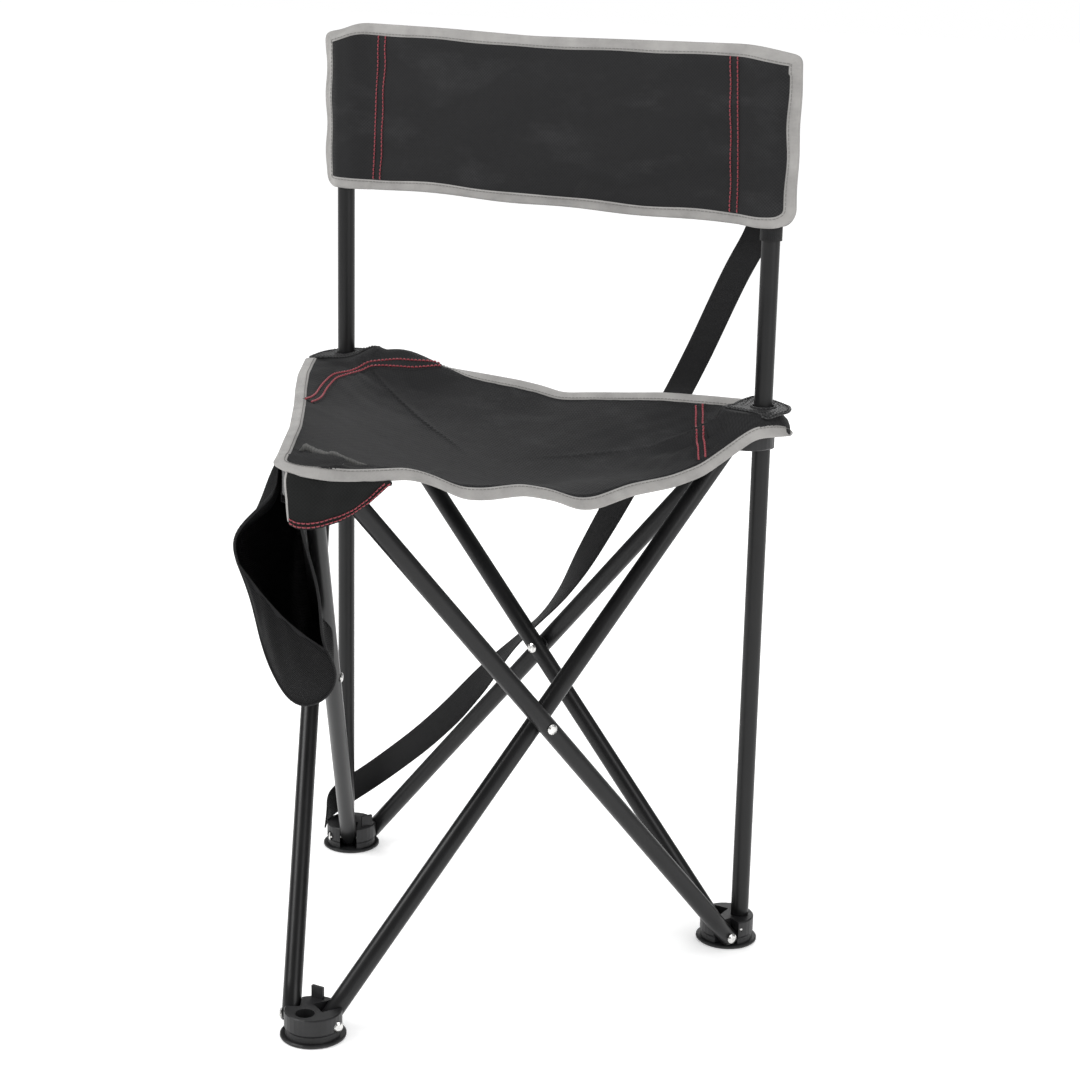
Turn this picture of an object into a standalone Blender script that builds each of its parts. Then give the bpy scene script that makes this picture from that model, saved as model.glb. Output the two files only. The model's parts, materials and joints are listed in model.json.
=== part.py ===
"""Three-leg folding stool with a fabric seat and a backrest, standing open on z = 0, in metres.

Three scissor pairs of tube legs join three moulded feet, at the corners of an equilateral triangle,
to three brackets above them. The front corner points along -Y and the right one lies towards +X.
Two rear uprights carry the backrest. The sewn goods are simple solids.
"""
import math
from collections import namedtuple

import bpy
import bmesh
from mathutils import Matrix, Vector

# ---- driving dimensions ----
CENTRE_Y = 0.061794     # foot triangle's centre, which centres the outer box on the origin
SIDE = 0.416            # distance between foot centres
PIVOT_IN = 0.0132       # leg pivot, along a side from the foot centre
Z_FOOT = 0.0125         # lower leg pivots
Z_TOP = 0.4753          # upper leg pivots
PLANE = 0.0106          # middle plane of a leg pair, outside the line of foot centres
HALF_GAP = 0.0090       # half the spacing between the two legs of a pair
TUBE_R = 0.0080
TUBE_WALL = 0.0014
LEG_EXT = 0.0050        # tube past each end pivot
GAP = 0.0003            # clearance between touching parts

POST_OUT = 0.0115       # upright axis, outward from the foot centre
POST_Z0, POST_Z1 = 0.0038, 0.7900
POST_BORE_R = TUBE_R + 0.00015
POST_PIN_Z = 0.0165
POST_PIN_R, POST_PIN_HALF = 0.0014, 0.0196
POST_PIN_HOLE_R = 0.0017

RIVET_R = 0.0025
HOLE_R = 0.00275
HEAD_R, HEAD_H = 0.0046, 0.0018
RIVET_END_OUTER = 0.0045    # inner end of a corner rivet, from the line of foot centres
RIVET_END_INNER = -0.0105
RIVET_END_CLEAR = 0.0005    # hole past that end
LEG_CUT_HALF = 0.012        # half length of a cutter that crosses one tube

SLOT_START, SLOT_END = 0.0034, 0.045    # along the side from the corner
SLOT_HALF = 0.0084
SLOT_OUTER_FACE = 0.042                 # an outer leg's slot is open to the outside
FACING_R, FACING_DEPTH = 0.0054, 0.0008     # flat seat for an inner leg's rivet head

FOOT_R, FOOT_H = 0.0243, 0.0240
RIM_R, RIM_H = 0.0277, 0.0032
BRACKET_R, BRACKET_RIM_R = 0.0220, 0.0265
BRACKET_Z0, BRACKET_Z1 = Z_TOP - 0.0130, Z_TOP + 0.0125

SEAT_EDGES = {"right": 0.0310, "rear": 0.0265, "left": 0.0310}  # fabric past the foot centres
SEAT_Z, SEAT_T = 0.4930, 0.0030
SEAT_RINGS = 7
SEAT_POST_HOLE_R = 0.0088
SAG_RIGHT, SAG_REAR, SAG_LEFT, SAG_MID = 0.072, 0.010, 0.030, 0.022
SAG_START, SAG_BLEND = 0.031, 0.050     # flat out to this distance from a corner, then eased in
BACK_Z0, BACK_Z1 = 0.6575, 0.8020

TUBE_SEG = 20
PIN_SEG = 12

for old in list(bpy.data.objects):
    bpy.data.objects.remove(old)

# ---- foot triangle ----
Y = Vector((0, 1, 0))
Z = Vector((0, 0, 1))
CENTRE = Vector((0, CENTRE_Y, 0))
CORNER_R = SIDE / math.sqrt(3)
CORNERS = {
    "front": CENTRE + Vector((0, -CORNER_R, 0)),
    "left": CENTRE + Vector((-SIDE / 2, CORNER_R / 2, 0)),
    "right": CENTRE + Vector((SIDE / 2, CORNER_R / 2, 0)),
}
REAR_CORNERS = ("left", "right")
CORNER_TURN = math.radians(120)     # from one side's normal to the next

Side = namedtuple("Side", "start end along normal")


def make_side(start, end):
    along = (CORNERS[end] - CORNERS[start]).normalized()
    return Side(start, end, along, along.cross(Z))


# Walked counter-clockwise from above, so that each normal points out.
SIDES = {
    "right": make_side("front", "right"),
    "rear": make_side("right", "left"),
    "left": make_side("left", "front"),
}


def outward(corner):
    return (CORNERS[corner] - CENTRE).normalized()


def post_axis(corner):
    return CORNERS[corner] + outward(corner) * POST_OUT


def post_span(corner, z0, z1):
    """Two points on the upright's axis."""
    axis = post_axis(corner)
    return axis + Z * z0, axis + Z * z1


def pin_span(corner, half):
    """Two points on the cross pin's axis, square to the outward direction."""
    middle = post_axis(corner) + Z * POST_PIN_Z
    reach = Z.cross(outward(corner)) * half
    return middle - reach, middle + reach


def leg_offset(outer):
    return PLANE + (HALF_GAP if outer else -HALF_GAP)


def corner_legs(corner, top):
    """(side name, direction away from the corner, normal, outer leg or not) for a corner's two legs."""
    found = []
    for name, side in SIDES.items():
        if side.start == corner:
            found.append((name, side.along, side.normal, top))
        if side.end == corner:
            found.append((name, -side.along, side.normal, not top))
    return found


# ---- materials ----
def material(name, colour, roughness, metallic=0.0):
    mat = bpy.data.materials.new(name)
    mat.use_nodes = True
    inputs = mat.node_tree.nodes["Principled BSDF"].inputs
    inputs["Base Color"].default_value = (*colour, 1)
    inputs["Roughness"].default_value = roughness
    inputs["Metallic"].default_value = metallic
    return mat


PAINT = material("tube_paint", colour=(0.018, 0.018, 0.019), roughness=0.38)
PLASTIC = material("moulded_plastic", colour=(0.022, 0.022, 0.023), roughness=0.55)
BRIGHT = material("bright_rivet", colour=(0.70, 0.70, 0.68), roughness=0.25, metallic=1.0)
CLOTH = material("seat_cloth", colour=(0.060, 0.060, 0.062), roughness=0.9)
WEBBING = material("webbing", colour=(0.020, 0.020, 0.021), roughness=0.9)
NET = material("net", colour=(0.015, 0.015, 0.016), roughness=0.9)


# ---- modelling helpers ----
def add(name, bm, mat=None, smooth=False):
    """Turns a bmesh into an object in the scene, and frees it."""
    bmesh.ops.recalc_face_normals(bm, faces=bm.faces[:])
    mesh = bpy.data.meshes.new(name)
    bm.to_mesh(mesh)
    bm.free()
    for polygon in mesh.polygons:
        polygon.use_smooth = smooth
    ob = bpy.data.objects.new(name, mesh)
    bpy.context.scene.collection.objects.link(ob)
    if mat:
        mesh.materials.append(mat)
    return ob


def boolean(ob, name, bm, operation="DIFFERENCE"):
    """Adds a live boolean to ob, with a hidden helper of the same name as the modifier."""
    helper = add(name, bm)
    helper.hide_render = True
    helper.display_type = "WIRE"
    modifier = ob.modifiers.new(name, "BOOLEAN")
    modifier.operation = operation
    modifier.solver = "EXACT"
    modifier.object = helper


def loft(bm, rings, closed=False, capped=False):
    """Joins successive rings of vertices. A ring of one vertex is a pole."""
    pairs = list(zip(rings, rings[1:]))
    if closed:
        pairs.append((rings[-1], rings[0]))
    for a, b in pairs:
        count = max(len(a), len(b))
        for i in range(count):
            j = (i + 1) % count
            quad = (a[i % len(a)], a[j % len(a)], b[j % len(b)], b[i % len(b)])
            bm.faces.new(list(dict.fromkeys(quad)))     # a repeated pole is dropped
    if capped:
        bm.faces.new(rings[0])
        bm.faces.new(rings[-1][::-1])


def lathe(origin, axis, profile, segments=TUBE_SEG, closed=False, bm=None):
    """Turns (radius, height) pairs about an axis. closed joins the last pair to the first."""
    if bm is None:
        bm = bmesh.new()
    z = axis.normalized()
    x = z.cross(Z)
    x = Vector((1, 0, 0)) if x.length < 1e-6 else x.normalized()
    y = z.cross(x)
    angles = [2 * math.pi * (i + 0.5) / segments for i in range(segments)]
    rings = []
    for radius, height in profile:
        middle = origin + z * height
        if radius == 0:
            rings.append([bm.verts.new(middle)])
        else:
            rings.append([bm.verts.new(middle + (x * math.cos(a) + y * math.sin(a)) * radius)
                          for a in angles])
    loft(bm, rings, closed=closed)
    return bm


def rods(spans, radius, segments=PIN_SEG):
    """One solid cylinder for each (start, end)."""
    bm = bmesh.new()
    for start, end in spans:
        length = (end - start).length
        profile = [(0, 0), (radius, 0), (radius, length), (0, length)]
        lathe(start, end - start, profile, segments, bm=bm)
    return bm


def pipe(origin, axis, outer_r, inner_r, start, end):
    profile = [(outer_r, start), (outer_r, end), (inner_r, end), (inner_r, start)]
    return lathe(origin, axis, profile, closed=True)


def block(origin, axes, low, high):
    """A box between two corners, in the frame of three axes at origin."""
    bm = bmesh.new()
    verts = []
    for i in range(8):
        picks = [(low[k], high[k])[(i >> k) & 1] for k in range(3)]
        verts.append(bm.verts.new(origin + axes[0] * picks[0] + axes[1] * picks[1]
                                  + axes[2] * picks[2]))
    for face in ((0, 1, 3, 2), (4, 6, 7, 5), (0, 4, 5, 1),
                 (2, 3, 7, 6), (0, 2, 6, 4), (1, 5, 7, 3)):
        bm.faces.new([verts[i] for i in face])
    return bm


# ---- legs ----
def leg(side, outer):
    """An inner leg rises from the side's start to its end, an outer leg the other way."""
    offset = side.normal * leg_offset(outer)
    start = CORNERS[side.start] + side.along * PIVOT_IN + offset
    end = CORNERS[side.end] - side.along * PIVOT_IN + offset
    names = (side.start, side.end)
    if outer:
        start, end = end, start
        names = names[::-1]
    name = "leg_%s_to_%s" % names
    low = start + Z * Z_FOOT
    high = end + Z * Z_TOP
    axis = (high - low).normalized()
    length = (high - low).length
    ob = add(name, pipe(low, axis, TUBE_R, TUBE_R - TUBE_WALL, -LEG_EXT, length + LEG_EXT),
             PAINT, smooth=True)
    reach = side.normal * LEG_CUT_HALF
    pivots = [low + axis * along for along in (0, length / 2, length)]
    boolean(ob, "cut_" + name, rods([(p - reach, p + reach) for p in pivots], HOLE_R))


# ---- rivets ----
HEAD_PROFILE = [(0, HEAD_H), (HEAD_R * 0.62, HEAD_H * 0.86), (HEAD_R, HEAD_H * 0.25), (HEAD_R, 0)]


def facing_offset(radius):
    """Flat under an inner leg's rivet head, cut into a round moulding of this radius."""
    return math.sqrt(radius ** 2 - PIVOT_IN ** 2) - FACING_DEPTH


def rivet_end(outer):
    return RIVET_END_OUTER if outer else RIVET_END_INNER


def corner_rivets(prefix, corner, z, top, radius):
    for side_name, away, normal, outer in corner_legs(corner, top):
        pivot = CORNERS[corner] + away * PIVOT_IN + Z * z
        head = (PLANE + HALF_GAP + TUBE_R if outer else facing_offset(radius)) + GAP
        shank = head - rivet_end(outer)
        profile = [(r, -h) for r, h in HEAD_PROFILE]
        profile += [(RIVET_R, 0), (RIVET_R, shank), (0, shank)]
        add(f"{prefix}_{corner}_{side_name}_side",
            lathe(pivot + normal * head, -normal, profile, PIN_SEG), BRIGHT, smooth=True)


def crossing(side_name, side):
    """Rivet and spacer where the two legs of a pair cross."""
    middle = ((CORNERS[side.start] + CORNERS[side.end]) / 2 + side.normal * PLANE
              + Z * (Z_FOOT + Z_TOP) / 2)
    reach = HALF_GAP + TUBE_R + GAP
    profile = [(r, -reach - h) for r, h in HEAD_PROFILE]
    profile += [(RIVET_R, -reach), (RIVET_R, reach)]
    profile += [(r, reach + h) for r, h in reversed(HEAD_PROFILE)]
    add("cross_rivet_" + side_name, lathe(middle, side.normal, profile, PIN_SEG),
        BRIGHT, smooth=True)
    half = HALF_GAP - TUBE_R - GAP
    add("cross_spacer_" + side_name, pipe(middle, side.normal, 0.0065, 0.0028, -half, half),
        PLASTIC, smooth=True)


# ---- feet and brackets ----
def cut_slots(ob, corner, z0, z1, top):
    for _, away, normal, outer in corner_legs(corner, top):
        middle = leg_offset(outer)
        outer_face = SLOT_OUTER_FACE if outer else middle + SLOT_HALF
        boolean(ob, f"slot_{ob.name}_{outer:d}",
                block(CORNERS[corner], (away, normal, Z),
                      (SLOT_START, middle - SLOT_HALF, z0), (SLOT_END, outer_face, z1)))


def cut_rivet_holes(ob, corner, z, top, radius):
    hole_end, facing_end = 0.0330, 0.0360       # both clear of the moulding
    for _, away, normal, outer in corner_legs(corner, top):
        pivot = CORNERS[corner] + away * PIVOT_IN + Z * z
        start = pivot + normal * (rivet_end(outer) - RIVET_END_CLEAR)
        boolean(ob, f"hole_{ob.name}_{outer:d}",
                rods([(start, pivot + normal * hole_end)], HOLE_R))
        if not outer:
            span = (pivot + normal * facing_offset(radius), pivot + normal * facing_end)
            boolean(ob, "facing_" + ob.name, rods([span], FACING_R, TUBE_SEG))


def foot(name, corner):
    """A flanged round foot with a small upright tab, two leg slots and a socket."""
    profile = [     # radius, height
        (0, 0), (RIM_R - 0.0012, 0), (RIM_R, 0.0009), (RIM_R, 0.0024),
        (RIM_R - 0.001, RIM_H), (FOOT_R - 0.0006, RIM_H),
        (FOOT_R - 0.0011, 0.0055), (FOOT_R - 0.0011, 0.0080), (FOOT_R, 0.0100),
        (FOOT_R, FOOT_H - 0.0010), (FOOT_R - 0.0010, FOOT_H), (0, FOOT_H),
    ]
    ob = add(name, lathe(CORNERS[corner], Z, profile, 32), PLASTIC)
    out = outward(corner)
    across = Z.cross(out)
    tab = block(CORNERS[corner] - out * 0.0180 - across * 0.0080, (out, across, Z),
                (-0.0014, -0.0056, 0.0180), (0.0014, 0.0056, 0.0345))
    boolean(ob, "tab_" + name, tab, "UNION")
    cut_slots(ob, corner, RIM_H - 0.0001, 0.060, top=False)
    cut_rivet_holes(ob, corner, Z_FOOT, False, FOOT_R)
    boolean(ob, "socket_" + name,
            rods([post_span(corner, 0.0035, 0.0535 - 0.0035)], POST_BORE_R, TUBE_SEG))
    if corner in REAR_CORNERS:
        boolean(ob, "pinhole_" + name, rods([pin_span(corner, 0.03)], POST_PIN_HOLE_R))
    corner_rivets("foot_rivet", corner, Z_FOOT, False, FOOT_R)


def bracket(name, corner):
    """A flanged round bracket under the seat. The rear ones slide on the uprights."""
    z0, z1 = BRACKET_Z0, BRACKET_Z1
    profile = [     # radius, height
        (0, z0), (BRACKET_R - 0.001, z0), (BRACKET_R, z0 + 0.001), (BRACKET_R, z1 - 0.0028),
        (BRACKET_RIM_R, z1 - 0.0026), (BRACKET_RIM_R, z1 - 0.0006),
        (BRACKET_RIM_R - 0.0007, z1), (0, z1),
    ]
    ob = add(name, lathe(CORNERS[corner], Z, profile, 28), PLASTIC)
    cut_slots(ob, corner, z0 - 0.02, Z_TOP + 0.0096, top=True)
    cut_rivet_holes(ob, corner, Z_TOP, True, BRACKET_R)
    if corner in REAR_CORNERS:
        boss_span = post_span(corner, z0 - 0.0006, z1 - 0.0001)
        boolean(ob, "boss_" + name, rods([boss_span], 0.0112, TUBE_SEG), "UNION")
        boolean(ob, "bore_" + name,
                rods([post_span(corner, 0.40, 0.55)], POST_BORE_R, TUBE_SEG))
    corner_rivets("top_rivet", corner, Z_TOP, True, BRACKET_R)


# ---- uprights ----
def upright(corner):
    """Rear tube with its cross pin and end cap."""
    axis = post_axis(corner)
    bore_r = TUBE_R - TUBE_WALL
    post = add("upright_" + corner, pipe(axis, Z, TUBE_R, bore_r, POST_Z0, POST_Z1),
               PAINT, smooth=True)
    boolean(post, "pinhole_upright_" + corner,
            rods([pin_span(corner, LEG_CUT_HALF)], POST_PIN_HOLE_R))
    add("upright_pin_" + corner, rods([pin_span(corner, POST_PIN_HALF)], POST_PIN_R),
        BRIGHT, smooth=True)
    plug_r = bore_r - GAP
    profile = [(0, -0.010), (plug_r, -0.010), (plug_r, GAP), (TUBE_R, GAP),
               (TUBE_R, 0.0022), (TUBE_R - 0.0015, 0.0034), (0, 0.0038)]
    add("upright_cap_" + corner, lathe(axis + Z * POST_Z1, Z, profile), PLASTIC, smooth=True)


# ---- seat ----
# Takes (x, y, 1) to the weights of the front, left and right corners.
CORNER_WEIGHTS = Matrix((
    [corner.x for corner in CORNERS.values()],
    [corner.y for corner in CORNERS.values()],
    (1, 1, 1),
)).inverted()


def ease(x):
    x = max(0.0, min(1.0, x))
    return x * x * (3 - 2 * x)


def sag(point):
    """Depth of the seat below its corners. 4 and 27 bring the weight products to 1 at their peaks."""
    weights = [max(0.0, w) for w in CORNER_WEIGHTS @ Vector((point.x, point.y, 1))]
    total = sum(weights)
    front, left, right = (w / total for w in weights)
    depth = (4 * (SAG_RIGHT * front * right + SAG_REAR * left * right + SAG_LEFT * front * left)
             + 27 * SAG_MID * front * left * right)
    nearest = min((point - corner).length for corner in CORNERS.values())
    return depth * ease((nearest - SAG_START) / SAG_BLEND)


def corner_arc(side_in, steps):
    """(fraction, direction) pairs that turn from one side's normal to the next side's."""
    first = math.atan2(side_in.normal.y, side_in.normal.x)
    arc = []
    for i in range(steps + 1):
        angle = first + CORNER_TURN * i / steps
        arc.append((i / steps, Vector((math.cos(angle), math.sin(angle), 0))))
    return arc


def seat_outline():
    """Points round the fabric edge: three rounded corners joined by straight runs."""
    points = []
    for name_in, name_out in (("left", "right"), ("right", "rear"), ("rear", "left")):
        edge_in, edge_out = SEAT_EDGES[name_in], SEAT_EDGES[name_out]
        corner = CORNERS[SIDES[name_in].end]
        for t, direction in corner_arc(SIDES[name_in], 6):
            points.append(corner + direction * (edge_in + (edge_out - edge_in) * ease(t)))
    outline = []
    for p, q in zip(points, points[1:] + points[:1]):
        steps = 10 if (q - p).length > 0.1 else 1       # only the straight runs are divided
        outline += [p.lerp(q, k / steps) for k in range(steps)]
    return outline


def seat_fabric():
    """Sagging sheet of rings that shrink to the centre, with a hole for each upright."""
    bm = bmesh.new()
    outline = seat_outline()
    faces = []
    for z in (SEAT_Z, SEAT_Z + SEAT_T):
        rings = []
        for k in range(SEAT_RINGS, 0, -1):
            ring = [CENTRE.lerp(p, k / SEAT_RINGS) for p in outline]
            rings.append([bm.verts.new(p + Z * (z - sag(p))) for p in ring])
        rings.append([bm.verts.new(CENTRE + Z * (z - sag(CENTRE)))])
        loft(bm, rings)
        faces.append(rings)
    loft(bm, [faces[0][0], faces[1][0]])
    seat = add("seat_fabric", bm, CLOTH)
    spans = [post_span(corner, 0.48, 0.51) for corner in REAR_CORNERS]
    boolean(seat, "post_holes_seat", rods(spans, SEAT_POST_HOLE_R, TUBE_SEG))


def seat_patch(corner):
    """Round patch on the seat, with an off-centre hole for the upright."""
    radius, thickness, segments = 0.0240, 0.0012, 32
    low = SEAT_Z + SEAT_T + GAP
    high = low + thickness
    angles = [2 * math.pi * i / segments for i in range(segments)]
    rim, hole = (CORNERS[corner], radius), (post_axis(corner), SEAT_POST_HOLE_R)
    bm = bmesh.new()
    rings = []
    for (middle, r), z in ((rim, low), (rim, high), (hole, high), (hole, low)):
        rings.append([bm.verts.new(middle + Vector((math.cos(a), math.sin(a), 0)) * r + Z * z)
                      for a in angles])
    loft(bm, rings, closed=True)
    add("seat_patch_" + corner, bm, CLOTH)


def front_corner_pocket():
    """Upright wall that wraps round the front corner below the seat."""
    offset, thickness = 0.0325, 0.0020
    left_run, right_run = 0.040, 0.060
    low, high = Z * 0.4470, Z * 0.4880
    corner, left, right = CORNERS["front"], SIDES["left"], SIDES["right"]
    path = [(corner - left.along * left_run, left.normal)]
    path += [(corner, direction) for _, direction in corner_arc(left, 8)]
    path.append((corner + right.along * right_run, right.normal))
    bm = bmesh.new()
    rings = []
    for base, normal in path:
        inner = base + normal * offset
        outer = inner + normal * thickness
        section = (inner + low, outer + low, outer + high, inner + high)
        rings.append([bm.verts.new(p) for p in section])
    loft(bm, rings, capped=True)
    add("front_corner_pocket", bm, CLOTH)


# ---- backrest, strap and net ----
def backrest():
    """Flat panel with a sleeve round each upright, closed at the top."""
    past_post, half_t = 0.0185, 0.0022
    left, right = post_axis("left"), post_axis("right")
    panel = block(Vector((0, left.y, 0)), (Vector((1, 0, 0)), Y, Z),
                  (left.x - past_post, -half_t, BACK_Z0), (right.x + past_post, half_t, BACK_Z1))
    back = add("backrest_fabric", panel, CLOTH)
    for corner in REAR_CORNERS:
        span = post_span(corner, BACK_Z0 + 0.0012, BACK_Z1 - 0.0012)
        boolean(back, "sleeve_" + corner, rods([span], 0.0106, TUBE_SEG), "UNION")
    spans = [post_span(corner, 0.60, BACK_Z1 - 0.0045) for corner in REAR_CORNERS]
    boolean(back, "bores_backrest", rods(spans, 0.0086, TUBE_SEG))


def carry_strap():
    """Flat band behind the rear legs, from high on the right upright down to the left foot."""
    half_width, thickness = 0.0125, 0.0016
    y = CORNERS["right"].y + 0.0294
    high = Vector((post_axis("right").x - 0.010, y, 0.646))
    low = Vector((post_axis("left").x + 0.012, y, 0.045))
    along = (high - low).normalized()
    add("carry_strap",
        block(low, (along, along.cross(Y), Y),
              (0, -half_width, 0), ((high - low).length, half_width, thickness)), WEBBING)


def mesh_pocket():
    """Soft bag outside the left leg pair."""
    section = [     # distance outside the line of foot centres, height
        (0.0300, 0.4600), (0.0300, 0.2560), (0.0420, 0.2430),
        (0.0570, 0.2560), (0.0700, 0.3300), (0.0800, 0.3850),
        (0.0740, 0.4050), (0.0480, 0.4480), (0.0360, 0.4640),
    ]
    # distance from the front corner along the side, fullness of the section
    stations = [(0.085, 0.45), (0.105, 0.9), (0.140, 1.0), (0.175, 0.9), (0.195, 0.45)]
    back, middle_z = 0.0300, 0.36       # the section shrinks towards these
    side = SIDES["left"]
    bm = bmesh.new()
    rings = []
    for distance, fullness in stations:
        base = CORNERS[side.end] - side.along * distance
        height_scale = 0.85 + 0.15 * fullness
        rings.append([bm.verts.new(base + side.normal * (back + (out - back) * fullness)
                                   + Z * (middle_z + (z - middle_z) * height_scale))
                      for out, z in section])
    loft(bm, rings, capped=True)
    add("mesh_pocket", bm, NET)


# ---- assembly ----
for side_name, side in SIDES.items():
    leg(side, outer=False)
    leg(side, outer=True)
    crossing(side_name, side)

for foot_name, bracket_name, corner in (
    ("foot_front", "front_bracket", "front"),
    ("foot_rear_left", "slider_left", "left"),
    ("foot_rear_right", "slider_right", "right"),
):
    foot(foot_name, corner)
    bracket(bracket_name, corner)

seat_fabric()
for corner in REAR_CORNERS:
    upright(corner)
    seat_patch(corner)
front_corner_pocket()
backrest()
carry_strap()
mesh_pocket()
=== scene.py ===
"""A folding stool with a three-cornered cloth seat, a backrest, a strap and a net pocket.

Metres, standing on z = 0. One corner points to the front (-Y); the other two are at the
rear left (-X) and rear right (+X), where two uprights carry the backrest. On each side
of the triangle two legs cross.
"""
import json
import math
import bpy
import numpy as np
from mathutils import Matrix, Vector
from mathutils.bvhtree import BVHTree

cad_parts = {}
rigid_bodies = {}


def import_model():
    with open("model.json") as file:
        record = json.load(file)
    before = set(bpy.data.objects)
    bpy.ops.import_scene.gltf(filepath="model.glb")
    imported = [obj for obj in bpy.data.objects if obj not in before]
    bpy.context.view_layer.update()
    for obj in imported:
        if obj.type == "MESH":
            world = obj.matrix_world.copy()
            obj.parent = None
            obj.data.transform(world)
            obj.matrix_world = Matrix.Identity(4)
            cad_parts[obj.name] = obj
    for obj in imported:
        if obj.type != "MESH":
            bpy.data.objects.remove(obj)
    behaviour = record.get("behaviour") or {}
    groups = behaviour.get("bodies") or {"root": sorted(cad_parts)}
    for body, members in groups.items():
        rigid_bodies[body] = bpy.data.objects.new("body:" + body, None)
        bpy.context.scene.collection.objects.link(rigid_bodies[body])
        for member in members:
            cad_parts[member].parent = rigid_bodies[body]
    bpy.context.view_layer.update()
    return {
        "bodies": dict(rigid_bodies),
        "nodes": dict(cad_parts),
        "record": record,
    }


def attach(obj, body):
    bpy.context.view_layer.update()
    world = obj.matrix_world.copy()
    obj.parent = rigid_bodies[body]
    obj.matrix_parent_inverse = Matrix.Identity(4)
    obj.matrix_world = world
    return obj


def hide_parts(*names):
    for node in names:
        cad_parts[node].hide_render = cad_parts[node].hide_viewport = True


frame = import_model()

# ---------------- frame dimensions ----------------
CENTRE_Y = 0.061794       # middle of the triangle
SIDE = 0.416              # between corners
PIVOT_INSET = 0.0132      # leg ends, in from the corners along a side
FOOT_Z, LEG_TOP_Z = 0.0125, 0.4753
LEG_PLANE = 0.0106        # middle plane of a crossing pair, outside the side's line
HALF_GAP = 0.0090         # each leg of a pair, off that plane
TUBE_R, TUBE_WALL = 0.0080, 0.0014
TUBE_LIP = 0.0004         # chamfer at a tube's ends
BORE_DEPTH = 0.02
LEG_OVERHANG = 0.0050     # leg tube beyond its end points
POST_OUT = 0.0115         # upright's axis beyond its corner
POST_Z0, POST_Z1 = 0.0038, 0.7900
TURNED_SEGMENTS = 40

UP = np.array([0.0, 0.0, 1.0])
FLAT = np.array([1, 1, 0])  # multiplying by it drops the height
CORNER_REACH = SIDE / math.sqrt(3)
FRONT = np.array([0.0, CENTRE_Y - CORNER_REACH, 0.0])
REAR_LEFT = np.array([-SIDE / 2, CENTRE_Y + CORNER_REACH / 2, 0.0])
REAR_RIGHT = np.array([SIDE / 2, CENTRE_Y + CORNER_REACH / 2, 0.0])
CORNERS = (FRONT, REAR_LEFT, REAR_RIGHT)
MID = np.array([0.0, CENTRE_Y, 0.0])


def unit(vector):
    return np.asarray(vector, float) / np.linalg.norm(vector)


def unit_rows(vectors):
    return vectors / (np.linalg.norm(vectors, axis=1)[:, None] + 1e-12)


def side_frame(start, end):
    """A side's start, end, direction and outward normal."""
    along = unit(end - start)
    return start, end, along, np.cross(along, UP)


SIDES = {
    "right": side_frame(FRONT, REAR_RIGHT),
    "rear": side_frame(REAR_RIGHT, REAR_LEFT),
    "left": side_frame(REAR_LEFT, FRONT),
}
RIGHT_ALONG, RIGHT_OUT = SIDES["right"][2:]
REAR_ALONG, REAR_OUT = SIDES["rear"][2:]
LEFT_ALONG, LEFT_OUT = SIDES["left"][2:]


def post_axis(corner):
    return corner + unit(corner - MID) * POST_OUT


POST_LEFT, POST_RIGHT = post_axis(REAR_LEFT), post_axis(REAR_RIGHT)


def ease(x):
    """Smooth step from 0 to 1."""
    x = np.clip(x, 0.0, 1.0)
    return x * x * (3 - 2 * x)


def soft(x, table, reach=0.006):
    """Looks x up in a (stations, values) table, with rounded changes of slope."""
    return sum(np.interp(x + k * reach, *table) for k in (-1, -0.5, 0, 0.5, 1)) / 5


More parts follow.
